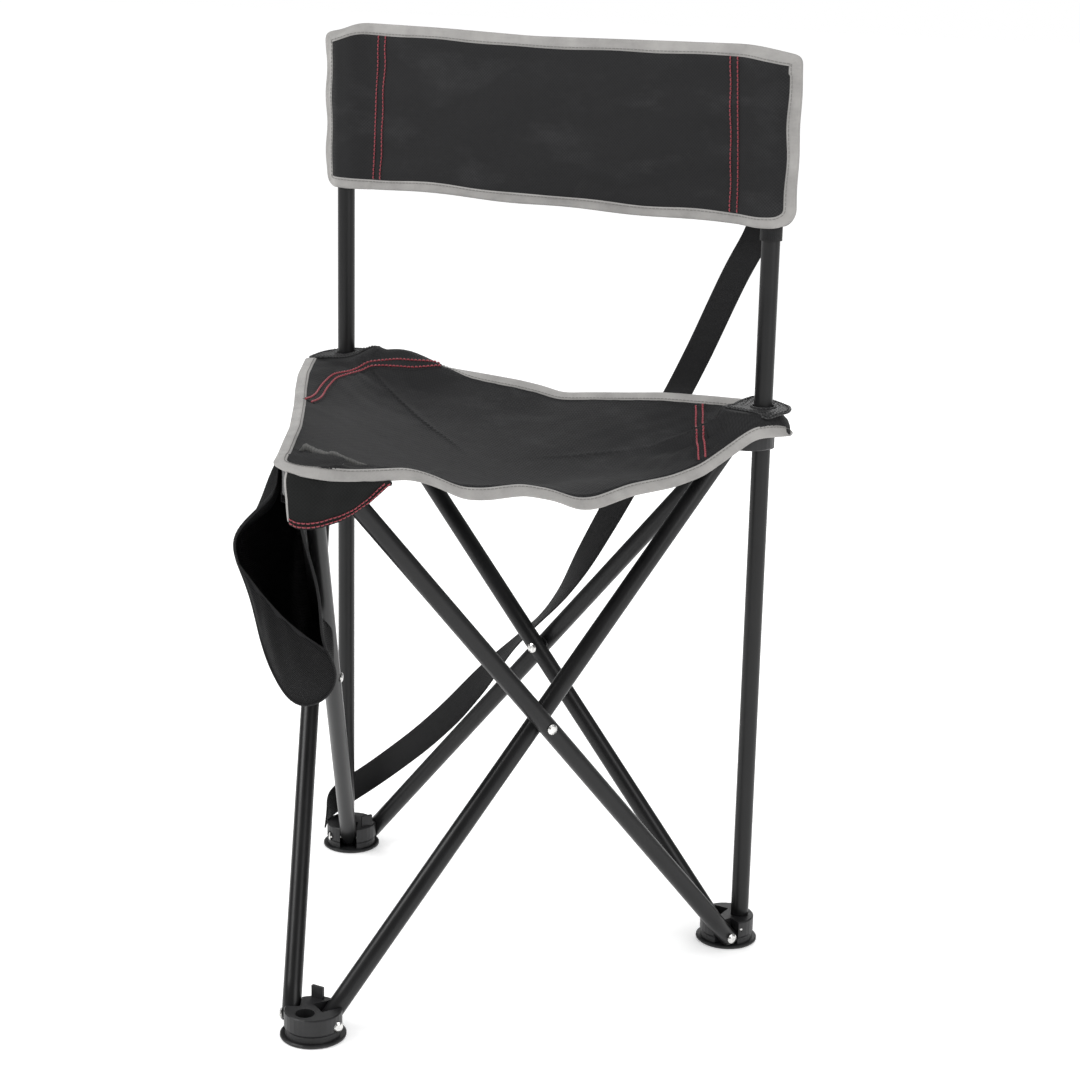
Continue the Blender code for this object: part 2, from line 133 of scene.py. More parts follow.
# ---------------- materials ----------------
class Surface:
    """Short names for building a node material."""

    def __init__(self, name):
        self.material = bpy.data.materials.new(name)
        self.material.use_nodes = True
        self.tree = self.material.node_tree
        self.shader = self.tree.nodes["Principled BSDF"]

    def node(self, kind, inputs=None, **props):
        node = self.tree.nodes.new(kind)
        for name, value in props.items():
            setattr(node, name, value)
        for name, value in (inputs or {}).items():
            node.inputs[name].default_value = value
        return node

    def link(self, output, socket):
        self.tree.links.new(output, socket)

    def math(self, operation, *values):
        node = self.node("ShaderNodeMath", operation=operation)
        for socket, value in zip(node.inputs, values):
            if isinstance(value, (int, float)):
                socket.default_value = value
            else:
                self.link(value, socket)
        return node.outputs[0]

    def wave(self, value, rate):
        """Sine of value times rate."""
        return self.math("SINE", self.math("MULTIPLY", value, rate))

    def noise_at(self, vector, scale, detail, rough):
        node = self.node("ShaderNodeTexNoise", {
            "Scale": scale, "Detail": detail, "Roughness": rough})
        self.link(vector, node.inputs["Vector"])
        return node.outputs["Fac"]

    def noise(self, scale, detail, rough=0.55):
        coords = self.node("ShaderNodeTexCoord")
        return self.noise_at(coords.outputs["Object"], scale, detail, rough)

    def streaks(self, scale, stretch):
        """Noise drawn out along the UV map's first direction."""
        uv_map = self.node("ShaderNodeUVMap")
        mapping = self.node("ShaderNodeMapping", {"Scale": (1.0, stretch, 1.0)})
        self.link(uv_map.outputs[0], mapping.inputs["Vector"])
        return self.noise_at(mapping.outputs[0], scale, detail=6.0, rough=0.62)

    def ramp(self, factor, dark, light, low=0.0, high=1.0):
        node = self.node("ShaderNodeValToRGB")
        stops = node.color_ramp.elements
        for stop, place, colour in ((stops[0], low, dark), (stops[1], high, light)):
            stop.position = place
            stop.color = (*colour, 1)
        self.link(factor, node.inputs[0])
        return node.outputs[0]

    def span(self, factor, low, high):
        node = self.node("ShaderNodeMapRange", {"To Min": low, "To Max": high})
        self.link(factor, node.inputs["Value"])
        return node.outputs[0]

    def bump(self, height, distance, strength, normal=None):
        node = self.node("ShaderNodeBump", {"Strength": strength, "Distance": distance})
        self.link(height, node.inputs["Height"])
        if normal is not None:
            self.link(normal, node.inputs["Normal"])
        return node.outputs[0]

    def uv(self):
        uv_map = self.node("ShaderNodeUVMap")
        split = self.node("ShaderNodeSeparateXYZ")
        self.link(uv_map.outputs[0], split.inputs[0])
        return split.outputs[0], split.outputs[1]

    def mix(self, factor, first, second):
        node = self.node("ShaderNodeMix", data_type="RGBA")
        self.link(factor, node.inputs[0])
        for index, value in ((6, first), (7, second)):  # the colour inputs
            if isinstance(value, tuple):
                node.inputs[index].default_value = (*value, 1)
            else:
                self.link(value, node.inputs[index])
        return node.outputs[2]

    def weave(self, pitch):
        """Height, 0..1, of a plain weave on the bias of the UV map."""
        u, v = self.uv()
        rate = 0.7071 * math.pi / pitch
        warp = self.wave(self.math("ADD", u, v), rate)
        weft = self.wave(self.math("SUBTRACT", u, v), rate)
        over = self.math("GREATER_THAN", self.math("MULTIPLY", warp, weft), 0.0)
        warp2 = self.math("MULTIPLY", warp, warp)
        weft2 = self.math("MULTIPLY", weft, weft)
        return self.math(
            "ADD", self.math("MULTIPLY", warp2, over),
            self.math("MULTIPLY", weft2, self.math("SUBTRACT", 1.0, over)))

    def put(self, **values):
        """Sets or links the shader's inputs, named with _ for a space."""
        for name, value in values.items():
            socket = self.shader.inputs[name.replace("_", " ")]
            if isinstance(value, (int, float)):
                socket.default_value = value
            elif isinstance(value, tuple):
                socket.default_value = (*value, 1)
            else:
                self.link(value, socket)
        return self.material


def powder_coat():
    mat = Surface("black_powder_coat")
    fine = mat.noise(scale=1400.0, detail=2.0)
    broad = mat.noise(scale=18.0, detail=3.0)
    return mat.put(
        Base_Color=mat.ramp(broad, dark=(0.0050, 0.0050, 0.0053),
                            light=(0.0090, 0.0090, 0.0094), low=0.3, high=0.7),
        Roughness=mat.span(broad, low=0.27, high=0.42),
        Normal=mat.bump(fine, distance=0.00006, strength=0.5),
        Specular_IOR_Level=0.32)


def moulded_plastic():
    mat = Surface("black_moulded_plastic")
    fine = mat.noise(scale=2600.0, detail=2.0)
    broad = mat.noise(scale=60.0, detail=4.0)
    return mat.put(
        Base_Color=mat.ramp(broad, dark=(0.010, 0.010, 0.0105),
                            light=(0.020, 0.020, 0.021), low=0.3, high=0.75),
        Roughness=mat.span(broad, low=0.34, high=0.52),
        Specular_IOR_Level=0.36,
        Normal=mat.bump(fine, distance=0.00008, strength=0.6))


def plated_steel():
    mat = Surface("bright_plated_steel")
    broad = mat.noise(scale=300.0, detail=5.0)
    return mat.put(
        Base_Color=mat.ramp(broad, dark=(0.55, 0.55, 0.54), light=(0.83, 0.82, 0.80),
                            low=0.3, high=0.7),
        Metallic=1.0,
        Roughness=mat.span(broad, low=0.16, high=0.36))


def cloth(name, dark, light, sheen_tint):
    """Woven cloth from dark to light thread, with painted sheen: paler streaky patches where
    the cloth's sheen catches the light.
    """
    mat = Surface(name)
    threads = mat.weave(pitch=0.0021)
    streaks = mat.streaks(scale=11.0, stretch=2.2)
    grain = mat.noise(scale=150.0, detail=3.0)
    lumps = mat.noise(scale=24.0, detail=4.0)
    base = mat.mix(mat.span(grain, low=0.30, high=0.70),
                   mat.ramp(threads, dark, light, low=0.05, high=0.95), light)
    # painted sheen: streaky patches mixed toward the paler third colour, standing in for the
    # cloth's sheen
    sheen_mask = mat.math(
        "MULTIPLY",
        mat.ramp(streaks, dark=(0, 0, 0), light=(1, 1, 1), low=0.50, high=0.74),
        mat.ramp(lumps, dark=(0.25, 0.25, 0.25), light=(1, 1, 1), low=0.35, high=0.65))
    painted_sheen = mat.mix(threads, light, sheen_tint)
    return mat.put(
        Base_Color=mat.mix(mat.math("MULTIPLY", sheen_mask, 0.85), base, painted_sheen),
        Roughness=mat.span(streaks, low=0.66, high=0.78),
        Specular_IOR_Level=0.13,
        Sheen_Weight=0.02,
        Sheen_Roughness=0.5,
        Normal=mat.bump(
            threads, distance=0.00030, strength=0.6,
            normal=mat.bump(grain, distance=0.0006, strength=0.35,
                            normal=mat.bump(lumps, distance=0.004, strength=0.35))))


def binding_tape():
    mat = Surface("grey_binding_tape")
    u, _ = mat.uv()
    rib = mat.wave(u, rate=2 * math.pi / 0.0011)
    broad = mat.noise(scale=45.0, detail=4.0)
    fine = mat.noise(scale=900.0, detail=3.0)
    blot = mat.noise(scale=110.0, detail=5.0, rough=0.7)
    base = mat.mix(mat.span(blot, low=0.15, high=0.75),
                   mat.ramp(broad, dark=(0.175, 0.170, 0.164), light=(0.335, 0.325, 0.313),
                            low=0.3, high=0.7),
                   (0.345, 0.336, 0.325))
    return mat.put(
        Base_Color=mat.mix(mat.span(rib, low=0.0, high=0.22), base, (0.18, 0.175, 0.168)),
        Roughness=0.82,
        Sheen_Weight=0.2,
        Normal=mat.bump(rib, distance=0.00018, strength=0.6,
                        normal=mat.bump(fine, distance=0.0002, strength=0.4)))


def thread(name, dark, light, roughness, sheen=0):
    """Twisted thread; a thread with sheen also has its twist in relief."""
    mat = Surface(name)
    u, v = mat.uv()
    twist = mat.wave(mat.math("ADD", u, v), rate=2 * math.pi / 0.0007)
    mat.put(Base_Color=mat.ramp(mat.span(twist, low=0.3, high=0.7), dark, light),
            Roughness=roughness)
    if sheen:
        mat.put(Sheen_Weight=sheen,
                Normal=mat.bump(twist, distance=0.0001, strength=0.5))
    return mat.material


def webbing():
    mat = Surface("black_webbing")
    u, v = mat.uv()
    ribs = mat.wave(v, rate=2 * math.pi / 0.0021)
    slant = mat.math("MULTIPLY", mat.math("ABSOLUTE", ribs), 0.0012)
    zigzag = mat.wave(mat.math("ADD", u, slant), rate=2 * math.pi / 0.0016)
    height = mat.math("ADD", mat.math("MULTIPLY", mat.math("ABSOLUTE", ribs), 0.7),
                      mat.math("MULTIPLY", zigzag, 0.3))
    return mat.put(
        Base_Color=mat.ramp(mat.span(zigzag, low=0.0, high=1.0),
                            dark=(0.006, 0.006, 0.0065), light=(0.017, 0.017, 0.018)),
        Roughness=0.62,
        Specular_IOR_Level=0.25,
        Sheen_Weight=0.04,
        Normal=mat.bump(height, distance=0.0005, strength=0.8))


def ribbed_patch():
    mat = Surface("ribbed_patch")
    threads = mat.weave(pitch=0.0026)
    fine = mat.noise(scale=700.0, detail=3.0)
    return mat.put(
        Base_Color=mat.mix(
            mat.span(fine, low=0.2, high=0.6),
            mat.ramp(threads, dark=(0.006, 0.006, 0.0065), light=(0.062, 0.062, 0.063),
                     low=0.1, high=0.9),
            (0.026, 0.026, 0.0265)),
        Roughness=0.5,
        Specular_IOR_Level=0.35,
        Normal=mat.bump(threads, distance=0.0005, strength=0.8))


def net():
    mat = Surface("black_net")
    u, v = mat.uv()
    rate = math.pi / 0.0019    # mesh pitch
    hole_from = 0.86           # both waves above this make a hole
    first = mat.math("ABSOLUTE", mat.wave(mat.math("ADD", u, v), rate))
    second = mat.math("ABSOLUTE", mat.wave(mat.math("SUBTRACT", u, v), rate))
    hole = mat.math("MULTIPLY", mat.math("GREATER_THAN", first, hole_from),
                    mat.math("GREATER_THAN", second, hole_from))
    alpha = mat.math("SUBTRACT", 1.0, mat.math("MULTIPLY", hole, 0.10))
    strand = mat.math("MINIMUM", first, second)
    return mat.put(
        Alpha=alpha,
        Base_Color=mat.ramp(strand, dark=(0.0115, 0.0115, 0.0122),
                            light=(0.0040, 0.0040, 0.0043), low=0.0, high=0.6),
        Roughness=0.66,
        Specular_IOR_Level=0.2,
        Normal=mat.bump(mat.math("SUBTRACT", 1.0, strand), distance=0.0005, strength=0.8))


def pale_floor():
    mat = Surface("pale_floor")
    broad = mat.noise(scale=0.7, detail=2.0)
    return mat.put(
        Base_Color=mat.ramp(broad, dark=(0.90, 0.90, 0.90), light=(0.93, 0.93, 0.93),
                            low=0.3, high=0.7),
        Roughness=0.8,
        Specular_IOR_Level=0.0,
        Emission_Color=(1.0, 1.0, 1.0),
        Emission_Strength=0.26)


MATERIALS = {
    "tube": powder_coat(),
    "plastic": moulded_plastic(),
    "rivet": plated_steel(),
    # the third colour of each cloth is its painted sheen
    "cloth": cloth("charcoal_cloth", dark=(0.0065, 0.0065, 0.0069),
                   light=(0.019, 0.019, 0.0198), sheen_tint=(0.050, 0.0505, 0.052)),
    "cloth_dark": cloth("black_cloth", dark=(0.0040, 0.0042, 0.0042),
                        light=(0.0105, 0.011, 0.0108), sheen_tint=(0.016, 0.0165, 0.0165)),
    # paler copy of the cloth: painted sheen for the lit top of the front fold
    "cloth_lit_copy": cloth("painted_lit_cloth", dark=(0.045, 0.045, 0.044),
                        light=(0.110, 0.109, 0.106), sheen_tint=(0.150, 0.149, 0.145)),
    "binding": binding_tape(),
    "red": thread("red_thread", dark=(0.185, 0.010, 0.020), light=(0.40, 0.034, 0.055),
                  roughness=0.42, sheen=0.3),
    "grey_thread": thread("grey_thread", dark=(0.12, 0.117, 0.112),
                          light=(0.24, 0.234, 0.225), roughness=0.6),
    "webbing": webbing(),
    "patch": ribbed_patch(),
    "black_thread": thread("black_thread", dark=(0.010, 0.010, 0.010),
                           light=(0.045, 0.045, 0.046), roughness=0.5),
    "net": net(),
    "floor": pale_floor(),
}


# ---------------- paths ----------------
def run_length(points):
    """Distance along a path at each of its points."""
    steps = np.linalg.norm(np.diff(points, axis=0), axis=1)
    return np.concatenate([[0], np.cumsum(steps)])


def sample(points, run, at):
    """Points of a path at the given distances along it."""
    return np.stack([np.interp(at, run, points[:, i]) for i in range(points.shape[1])], -1)


def spread(points, count):
    """A path as evenly spaced points."""
    points = np.array(points, float)
    run = run_length(points)
    return sample(points, run, np.linspace(0, run[-1], count))


def resample(path, step):
    return spread(path, max(2, int(round(run_length(path)[-1] / step)) + 1))


def smoothed(points, times):
    """Evens out an open path, leaving its ends."""
    points = np.array(points, float)
    for _ in range(times):
        points[1:-1] = (points[:-2] + 2 * points[1:-1] + points[2:]) / 4
    return points


def smooth_loop(points):
    for _ in range(2):
        points = (np.roll(points, 1, 0) + 2 * points + np.roll(points, -1, 0)) / 4
    return points


def tangents(path):
    return unit_rows(np.gradient(path, axis=0))


def repeated(vector, count):
    return np.tile(np.asarray(vector, float), (count, 1))


# ---------------- meshes, each a (vertices, faces, UVs in metres) ----------------
def mesh_obj(name, mesh, material):
    verts, faces, uvs = mesh
    data = bpy.data.meshes.new(name)
    data.from_pydata([tuple(map(float, v)) for v in verts], [],
                     [tuple(int(i) for i in face) for face in faces])
    if uvs is not None:
        layer = data.uv_layers.new(name="UVMap")
        loops = np.empty(len(data.loops), np.int32)
        data.loops.foreach_get("vertex_index", loops)
        layer.data.foreach_set("uv", np.asarray(uvs, np.float32)[loops].ravel())
    data.polygons.foreach_set("use_smooth", [True] * len(data.polygons))
    data.update()
    ob = bpy.data.objects.new(name, data)
    bpy.context.scene.collection.objects.link(ob)
    if material is not None:
        data.materials.append(MATERIALS[material])
    return ob


def grid_faces(rows, cols, wrap_cols=False, wrap_rows=False):
    """Quads over points numbered row by row."""
    faces = []
    for i in range(rows if wrap_rows else rows - 1):
        here, after = i * cols, (i + 1) % rows * cols
        for j in range(cols if wrap_cols else cols - 1):
            k = (j + 1) % cols
            faces.append((here + j, here + k, after + k, after + j))
    return faces


def tube_faces(rings, per_ring, closed=False):
    """Quads joining closed rings; an open tube gets end faces."""
    faces = grid_faces(rings, per_ring, wrap_cols=True, wrap_rows=closed)
    if not closed:
        faces.append(tuple(range(per_ring))[::-1])
        faces.append(tuple((rings - 1) * per_ring + j for j in range(per_ring)))
    return faces


def sweep(path, sides, normals, section, closed=False):
    """Carries a section of (side, normal) offsets, one for all or one per point."""
    section = np.asarray(section, float)
    if section.ndim == 2:
        section = np.repeat(section[None], len(path), 0)
    run = run_length(path)
    verts, uvs = [], []
    for i, ring in enumerate(section):
        around = 0.0
        for j, (x, y) in enumerate(ring):
            verts.append(path[i] + sides[i] * x + normals[i] * y)
            uvs.append((run[i], around))
            around += np.linalg.norm(ring[(j + 1) % len(ring)] - ring[j])
    return np.array(verts), tube_faces(len(path), section.shape[1], closed), np.array(uvs)


def turned(origin, axis, profile):
    """Turns a profile of (radius, height) about an axis."""
    axis = unit(axis)
    side = unit(np.cross(axis, UP) if abs(axis[2]) < 0.99 else np.array([1.0, 0, 0]))
    other = np.cross(axis, side)
    run = run_length(profile)
    verts, uvs = [], []
    for (radius, height), along in zip(profile, run):
        for i in range(TURNED_SEGMENTS):
            turn = 2 * math.pi * i / TURNED_SEGMENTS
            verts.append(origin + axis * height
                         + (side * math.cos(turn) + other * math.sin(turn)) * radius)
            uvs.append((turn * 0.008, along))
    return verts, grid_faces(len(profile), TURNED_SEGMENTS, wrap_cols=True), uvs


def merge(parts):
    verts, faces, uvs, base = [], [], [], 0
    for part_verts, part_faces, part_uvs in parts:
        verts.append(np.asarray(part_verts))
        uvs.append(np.asarray(part_uvs))
        faces += [tuple(i + base for i in face) for face in part_faces]
        base += len(part_verts)
    return np.concatenate(verts), faces, np.concatenate(uvs)


def ellipse(half_width, half_height, count):
    turns = [2 * math.pi * i / count for i in range(count)]
    return [(math.cos(turn) * half_width, math.sin(turn) * half_height) for turn in turns]


def tape_section(width, half):
    """A folded tape, rounded at the fold and open at the other side."""
    upper = [(width, half * 0.75), (width * 0.55, half), (width * 0.1, half),
             (-half * 0.55, half * 0.72)]
    return upper + [(-half * 0.85, 0.0)] + [(x, -y) for x, y in upper[::-1]]


def stitches(path, normals, pitch, length, radius, lift):
    """A row of stitches: curved beads dipping into the cloth at both ends."""
    path, normals = np.asarray(path, float), np.asarray(normals, float)
    run = run_length(path)
    arch = ((-0.5, -0.7), (-0.36, 0.35), (0.0, 1.0), (0.36, 0.35), (0.5, -0.7))
    count = int(run[-1] / pitch)
    parts = []
    for k in range(count):
        middle = (k + 0.5) * run[-1] / count
        points, ups = [], []
        for along, rise in arch:  # shares of the length and the radius
            at = min(max(middle + along * length, 0), run[-1])
            up = unit(sample(normals, run, at))
            points.append(sample(path, run, at) + up * (lift + rise * radius))
            ups.append(up)
        points, ups = np.array(points), np.array(ups)
        sides = unit_rows(np.cross(ups, tangents(points)))
        parts.append(sweep(points, sides, ups, ellipse(radius, radius, 6)))
    return merge(parts)


# ---------------- motion ----------------
def follow(ob, weights):
    """Moves ob with several bodies. weights: body name to a share per vertex.

    What the shares leave stays with the right rear foot.
    """
    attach(ob, "rear_right")
    for body, share in weights.items():
        share = np.clip(np.asarray(share, float), 0, 1)
        if share.max() < 1e-4:
            continue
        group = ob.vertex_groups.new(name="to_" + body)
        steps = np.round(share * 500).astype(int)
        order = np.argsort(steps, kind="stable")
        levels, starts = np.unique(steps[order], return_index=True)
        for level, part in zip(levels, np.split(order, starts[1:])):
            if level:
                group.add(part.tolist(), level / 500.0, "REPLACE")
        hook = ob.modifiers.new("follow_" + body, "HOOK")
        hook.object = frame["bodies"][body]
        hook.vertex_group = group.name
        hook.strength = 1.0
        hook.matrix_inverse = Matrix.Identity(4)


CORNER_SHARES = np.linalg.inv(np.array([[X[0] for X in CORNERS],
                                        [X[1] for X in CORNERS], [1, 1, 1]]))


def corner_shares(points):
    """Share of the front, rear left and rear right corners at each point."""
    shares = (CORNER_SHARES @ np.stack([points[:, 0], points[:, 1],
                                        np.ones(len(points))])).T
    shares = np.clip(shares, 0, None)
    return shares / shares.sum(1)[:, None]


def seat_weights(verts, droop=0.85):
    """Follows the corners; the middle goes over to the feet by the droop."""
    verts = verts.astype(np.float32).astype(float)  # as the mesh stores them
    shares = np.clip((corner_shares(verts) - 0.08) / 0.84, 0, 1)
    shares /= shares.sum(1)[:, None]
    front, left, right = shares.T
    low = np.clip(27 * front * left * right, 0, 1) * droop
    return {
        "front_bracket": front * (1 - low), "front_foot": front * low,
        "slider_left": left * (1 - low), "rear_left": left * low,
        "slider_right": right * (1 - low),
    }


def flap_weights(verts):
    return seat_weights(verts, droop=0.0)


def between_posts(front_share):
    """Weights for a piece strung from upright to upright."""
    def weights(verts):
        reach = abs(POST_LEFT[0]) - 0.014
        across = np.clip((reach - verts[:, 0]) / (2 * reach), 0, 1)
        front = front_share * np.sin(math.pi * across) ** 2
        return {"rear_left": np.clip(across - front / 2, 0, 1), "front_foot": front}
    return weights


def pocket_weights(verts):
    back = np.clip(((FRONT - verts) @ LEFT_ALONG / SIDE - 0.08) / 0.84, 0, 1)
    return {"front_bracket": 1 - back, "slider_left": back}


def add_part(name, mesh, material, motion, replaces=None, thickness=None):
    """Makes a piece. motion is the body it rides, or a function giving its weights."""
    ob = mesh_obj(name, mesh, material)
    if thickness:
        solid = ob.modifiers.new("thickness", "SOLIDIFY")
        solid.thickness = thickness
        solid.offset = 0.0
    if isinstance(motion, str):
        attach(ob, motion)
    else:
        follow(ob, motion(np.asarray(mesh[0], float)))
    if replaces:
        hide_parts(replaces)
    return ob


# ---------------- tubes ----------------
def tube(name, node, body, start, end):
    """A hollow tube with chamfered ends."""
    length = np.linalg.norm(end - start)
    bore = TUBE_R - TUBE_WALL
    top = length - TUBE_LIP
    steps = max(2, int(length / 0.03))
    profile = [(bore, length - BORE_DEPTH), (bore, top), (bore + TUBE_LIP, length),
               (TUBE_R - TUBE_LIP, length), (TUBE_R, top)]
    profile += [(TUBE_R, top - (length - 2 * TUBE_LIP) * i / steps) for i in range(1, steps)]
    profile += [(TUBE_R, TUBE_LIP), (TUBE_R - TUBE_LIP, 0), (bore + TUBE_LIP, 0),
                (bore, TUBE_LIP), (bore, BORE_DEPTH)]
    add_part(name, turned(start, unit(end - start), profile), "tube", body,
             replaces=node)


def leg(name, side, outer):
    """Inner legs rise from a side's start to its end, outer legs from end to start."""
    start, end, along, outward = SIDES[side]
    off = outward * (LEG_PLANE + (HALF_GAP if outer else -HALF_GAP))
    foot, top = start + along * PIVOT_INSET + off, end - along * PIVOT_INSET + off
    if outer:
        foot, top = top, foot
    foot, top = foot + UP * FOOT_Z, top + UP * LEG_TOP_Z
    beyond = unit(top - foot) * LEG_OVERHANG
    tube("tube_" + name, "leg_" + name, "leg_" + name, foot - beyond, top + beyond)


for name, side, outer in (
        ("front_to_right", "right", False), ("right_to_front", "right", True),
        ("right_to_left", "rear", False), ("left_to_right", "rear", True),
        ("left_to_front", "left", False), ("front_to_left", "left", True)):
    leg(name, side, outer)

# (radius, height over the upright's end): domed top, rim, plug in the bore
POST_CAP = [(0.0001, 0.0022), (0.0030, 0.0020), (0.0055, 0.0012), (0.0070, 0.0002),
            (0.0070, -0.0004), (0.0062, -0.0012), (0.0062, -0.0080), (0.0001, -0.0080)]
for tag, post in (("left", POST_LEFT), ("right", POST_RIGHT)):
    tube("post_" + tag, "upright_" + tag, "rear_" + tag, post + UP * POST_Z0,
         post + UP * POST_Z1)
    add_part("upright_end_" + tag, turned(post + UP * POST_Z1, UP, POST_CAP), "plastic",
             "rear_" + tag, replaces="upright_cap_" + tag)

# materials of the CAD pieces
SLOT_MATERIALS = {"tube_paint": "tube", "moulded_plastic": "plastic",
                  "bright_rivet": "rivet"}
for name, ob in frame["nodes"].items():
    slot = next(part["material_slot"] for part in frame["record"]["subparts"]
                if part["node"] == name)
    if slot in SLOT_MATERIALS:
        ob.data.materials.clear()
        ob.data.materials.append(MATERIALS[SLOT_MATERIALS[slot]])
        for poly in ob.data.polygons:
            poly.material_index = 0

# ---------------- seat outline ----------------
REAR_TOP_Z, FRONT_TOP_Z = 0.4953, 0.4893    # cloth over the corner brackets

# Edge heights as (stations, z). Right and left count from the front corner, rear from
# the rear right corner.
RIGHT_Z = (
    [0.000, 0.012, 0.032, 0.051, 0.072, 0.092, 0.120, 0.141, 0.176, 0.205, 0.228, 0.246,
     0.279, 0.320, 0.350, 0.378, 0.402, 0.440],
    [0.4805, 0.4783, 0.4763, 0.4750, 0.4740, 0.4670, 0.4525, 0.4495, 0.4500, 0.4425, 0.4320,
     0.4310, 0.4390, 0.4420, 0.4490, 0.4640, 0.4770, 0.4760])
REAR_Z = (
    [0.000, 0.010, 0.050, 0.096, 0.130, 0.167, 0.199, 0.219, 0.245, 0.280, 0.322, 0.357,
     0.388, 0.405],
    [0.4965, 0.4970, 0.4960, 0.4940, 0.4900, 0.4860, 0.4820, 0.4860, 0.4885, 0.4900, 0.4915,
     0.4925, 0.4940, 0.4945])
LEFT_STATIONS = [0.000, 0.030, 0.070, 0.100, 0.160, 0.250, 0.300, 0.350, 0.410]
LEFT_OFF = (LEFT_STATIONS,  # how far the edge stands outside the side's line
            [0.0282, 0.0285, 0.0300, 0.0312, 0.0322, 0.0375, 0.0415, 0.0440, 0.0425])
LEFT_Z = (LEFT_STATIONS,
          [0.4880, 0.4862, 0.4838, 0.4822, 0.4808, 0.4820, 0.4850, 0.4895, 0.4940])
# round the front corner, from the left side (0) to the right side (1)
ARC_STATIONS = [0, 0.3, 0.55, 0.9, 1]
ARC_Z = (ARC_STATIONS, [0.4880, 0.4878, 0.4857, 0.4820, 0.4805])
ARC_R = (ARC_STATIONS, [0.0282, 0.0287, 0.0300, 0.0310, 0.0310])
ARC_START = math.atan2(LEFT_OUT[1], LEFT_OUT[0])
ARC_END = math.atan2(RIGHT_OUT[1], RIGHT_OUT[0])


def arc_direction(share):
    turn = ARC_START + (ARC_END - ARC_START) * share
    return np.array([math.cos(turn), math.sin(turn), 0])


def left_edge(s):
    return FRONT - LEFT_ALONG * s + LEFT_OUT * soft(s, LEFT_OFF) + UP * soft(s, LEFT_Z)


def arc_edge(share):
    radius, height = np.interp(share, *ARC_R), np.interp(share, *ARC_Z)
    return FRONT + arc_direction(share) * radius + UP * height


def right_edge(s):
    off = 0.0310 - 0.0030 * math.sin(math.pi * min(s / SIDE, 1))
    return FRONT + RIGHT_ALONG * s + RIGHT_OUT * off + UP * soft(s, RIGHT_Z)


def rear_edge(s):
    off = 0.0268 - 0.0030 * math.sin(math.pi * s / SIDE)
    return REAR_RIGHT + REAR_ALONG * s + REAR_OUT * off + UP * soft(s, REAR_Z)


# (x, y, z) round the rear corners, counter-clockwise from above
RIGHT_CORNER = [(0.2438, 0.1885, 0.4790), (0.2405, 0.1945, 0.4820), (0.2355, 0.2010, 0.4855),
                (0.2270, 0.2062, 0.4895), (0.2160, 0.2085, 0.4930)]
LEFT_CORNER = [(-0.2030, 0.2098, 0.4945), (-0.2160, 0.2094, 0.4935),
               (-0.2285, 0.2048, 0.4925), (-0.2385, 0.1955, 0.4925),
               (-0.2440, 0.1830, 0.4930), (-0.2450, 0.1690, 0.4935)]
# from the rear right, round the front corner, to the rear left
front_line = np.array([right_edge(s) for s in np.linspace(0.4376, 0.0, 111)]
                      + [arc_edge(t) for t in np.linspace(1, 0, 19)[1:-1]]
                      + [left_edge(s) for s in np.linspace(0, 0.410, 104)])
rear_line = np.array([rear_edge(s) for s in np.linspace(0.404, 0.006, 101)])
OUTLINE = np.vstack([front_line[::-1], RIGHT_CORNER, rear_line[::-1], LEFT_CORNER])

# the outline in polar form about the middle, repeated a turn either way
CENTRE = MID[:2]
from_centre = OUTLINE[:, :2] - CENTRE
angles = np.arctan2(from_centre[:, 1], from_centre[:, 0])
order = np.argsort(angles)
angles = angles[order]
OUT_ANGLE = np.concatenate([angles - 2 * math.pi, angles, angles + 2 * math.pi])
OUT_RADIUS = np.tile(np.hypot(from_centre[:, 0], from_centre[:, 1])[order], 3)
OUT_Z = np.tile(OUTLINE[order, 2], 3)
DENSE = np.concatenate([OUTLINE + (np.roll(OUTLINE, -1, 0) - OUTLINE) * share
                        for share in (0, 0.25, 0.5, 0.75)])
DENSE_XY, DENSE_Z = DENSE[:, :2], DENSE[:, 2]


# ---------------- seat surface ----------------
def plan_distance(points, corner):
    return np.sqrt(((points[:, :2] - corner[:2]) ** 2).sum(1))


def nearest_corner(points):
    return np.min([plan_distance(points, corner) for corner in CORNERS], 0)


# side: (distance of its edge outside the side's line, height of the roll behind the edge)
EDGE_ROLLS = {"right": (0.031, 0.0085), "rear": (0.027, -0.0050), "left": (0.036, 0.0015)}
# corner, height, radius of the flat round it, width of the change to the free cloth
BRACKET_FLATS = ((FRONT, FRONT_TOP_Z, 0.0262, 0.0050), (REAR_LEFT, REAR_TOP_Z, 0.0240, 0.0100),
                 (REAR_RIGHT, REAR_TOP_Z, 0.0240, 0.0080))
# cloth standing proud at the rear left: x, y, spread in x, spread in y, height
HUMPS = ((-0.160, 0.192, 0.026, 0.0150, 0.0192), (-0.116, 0.1955, 0.022, 0.0115, 0.0072))


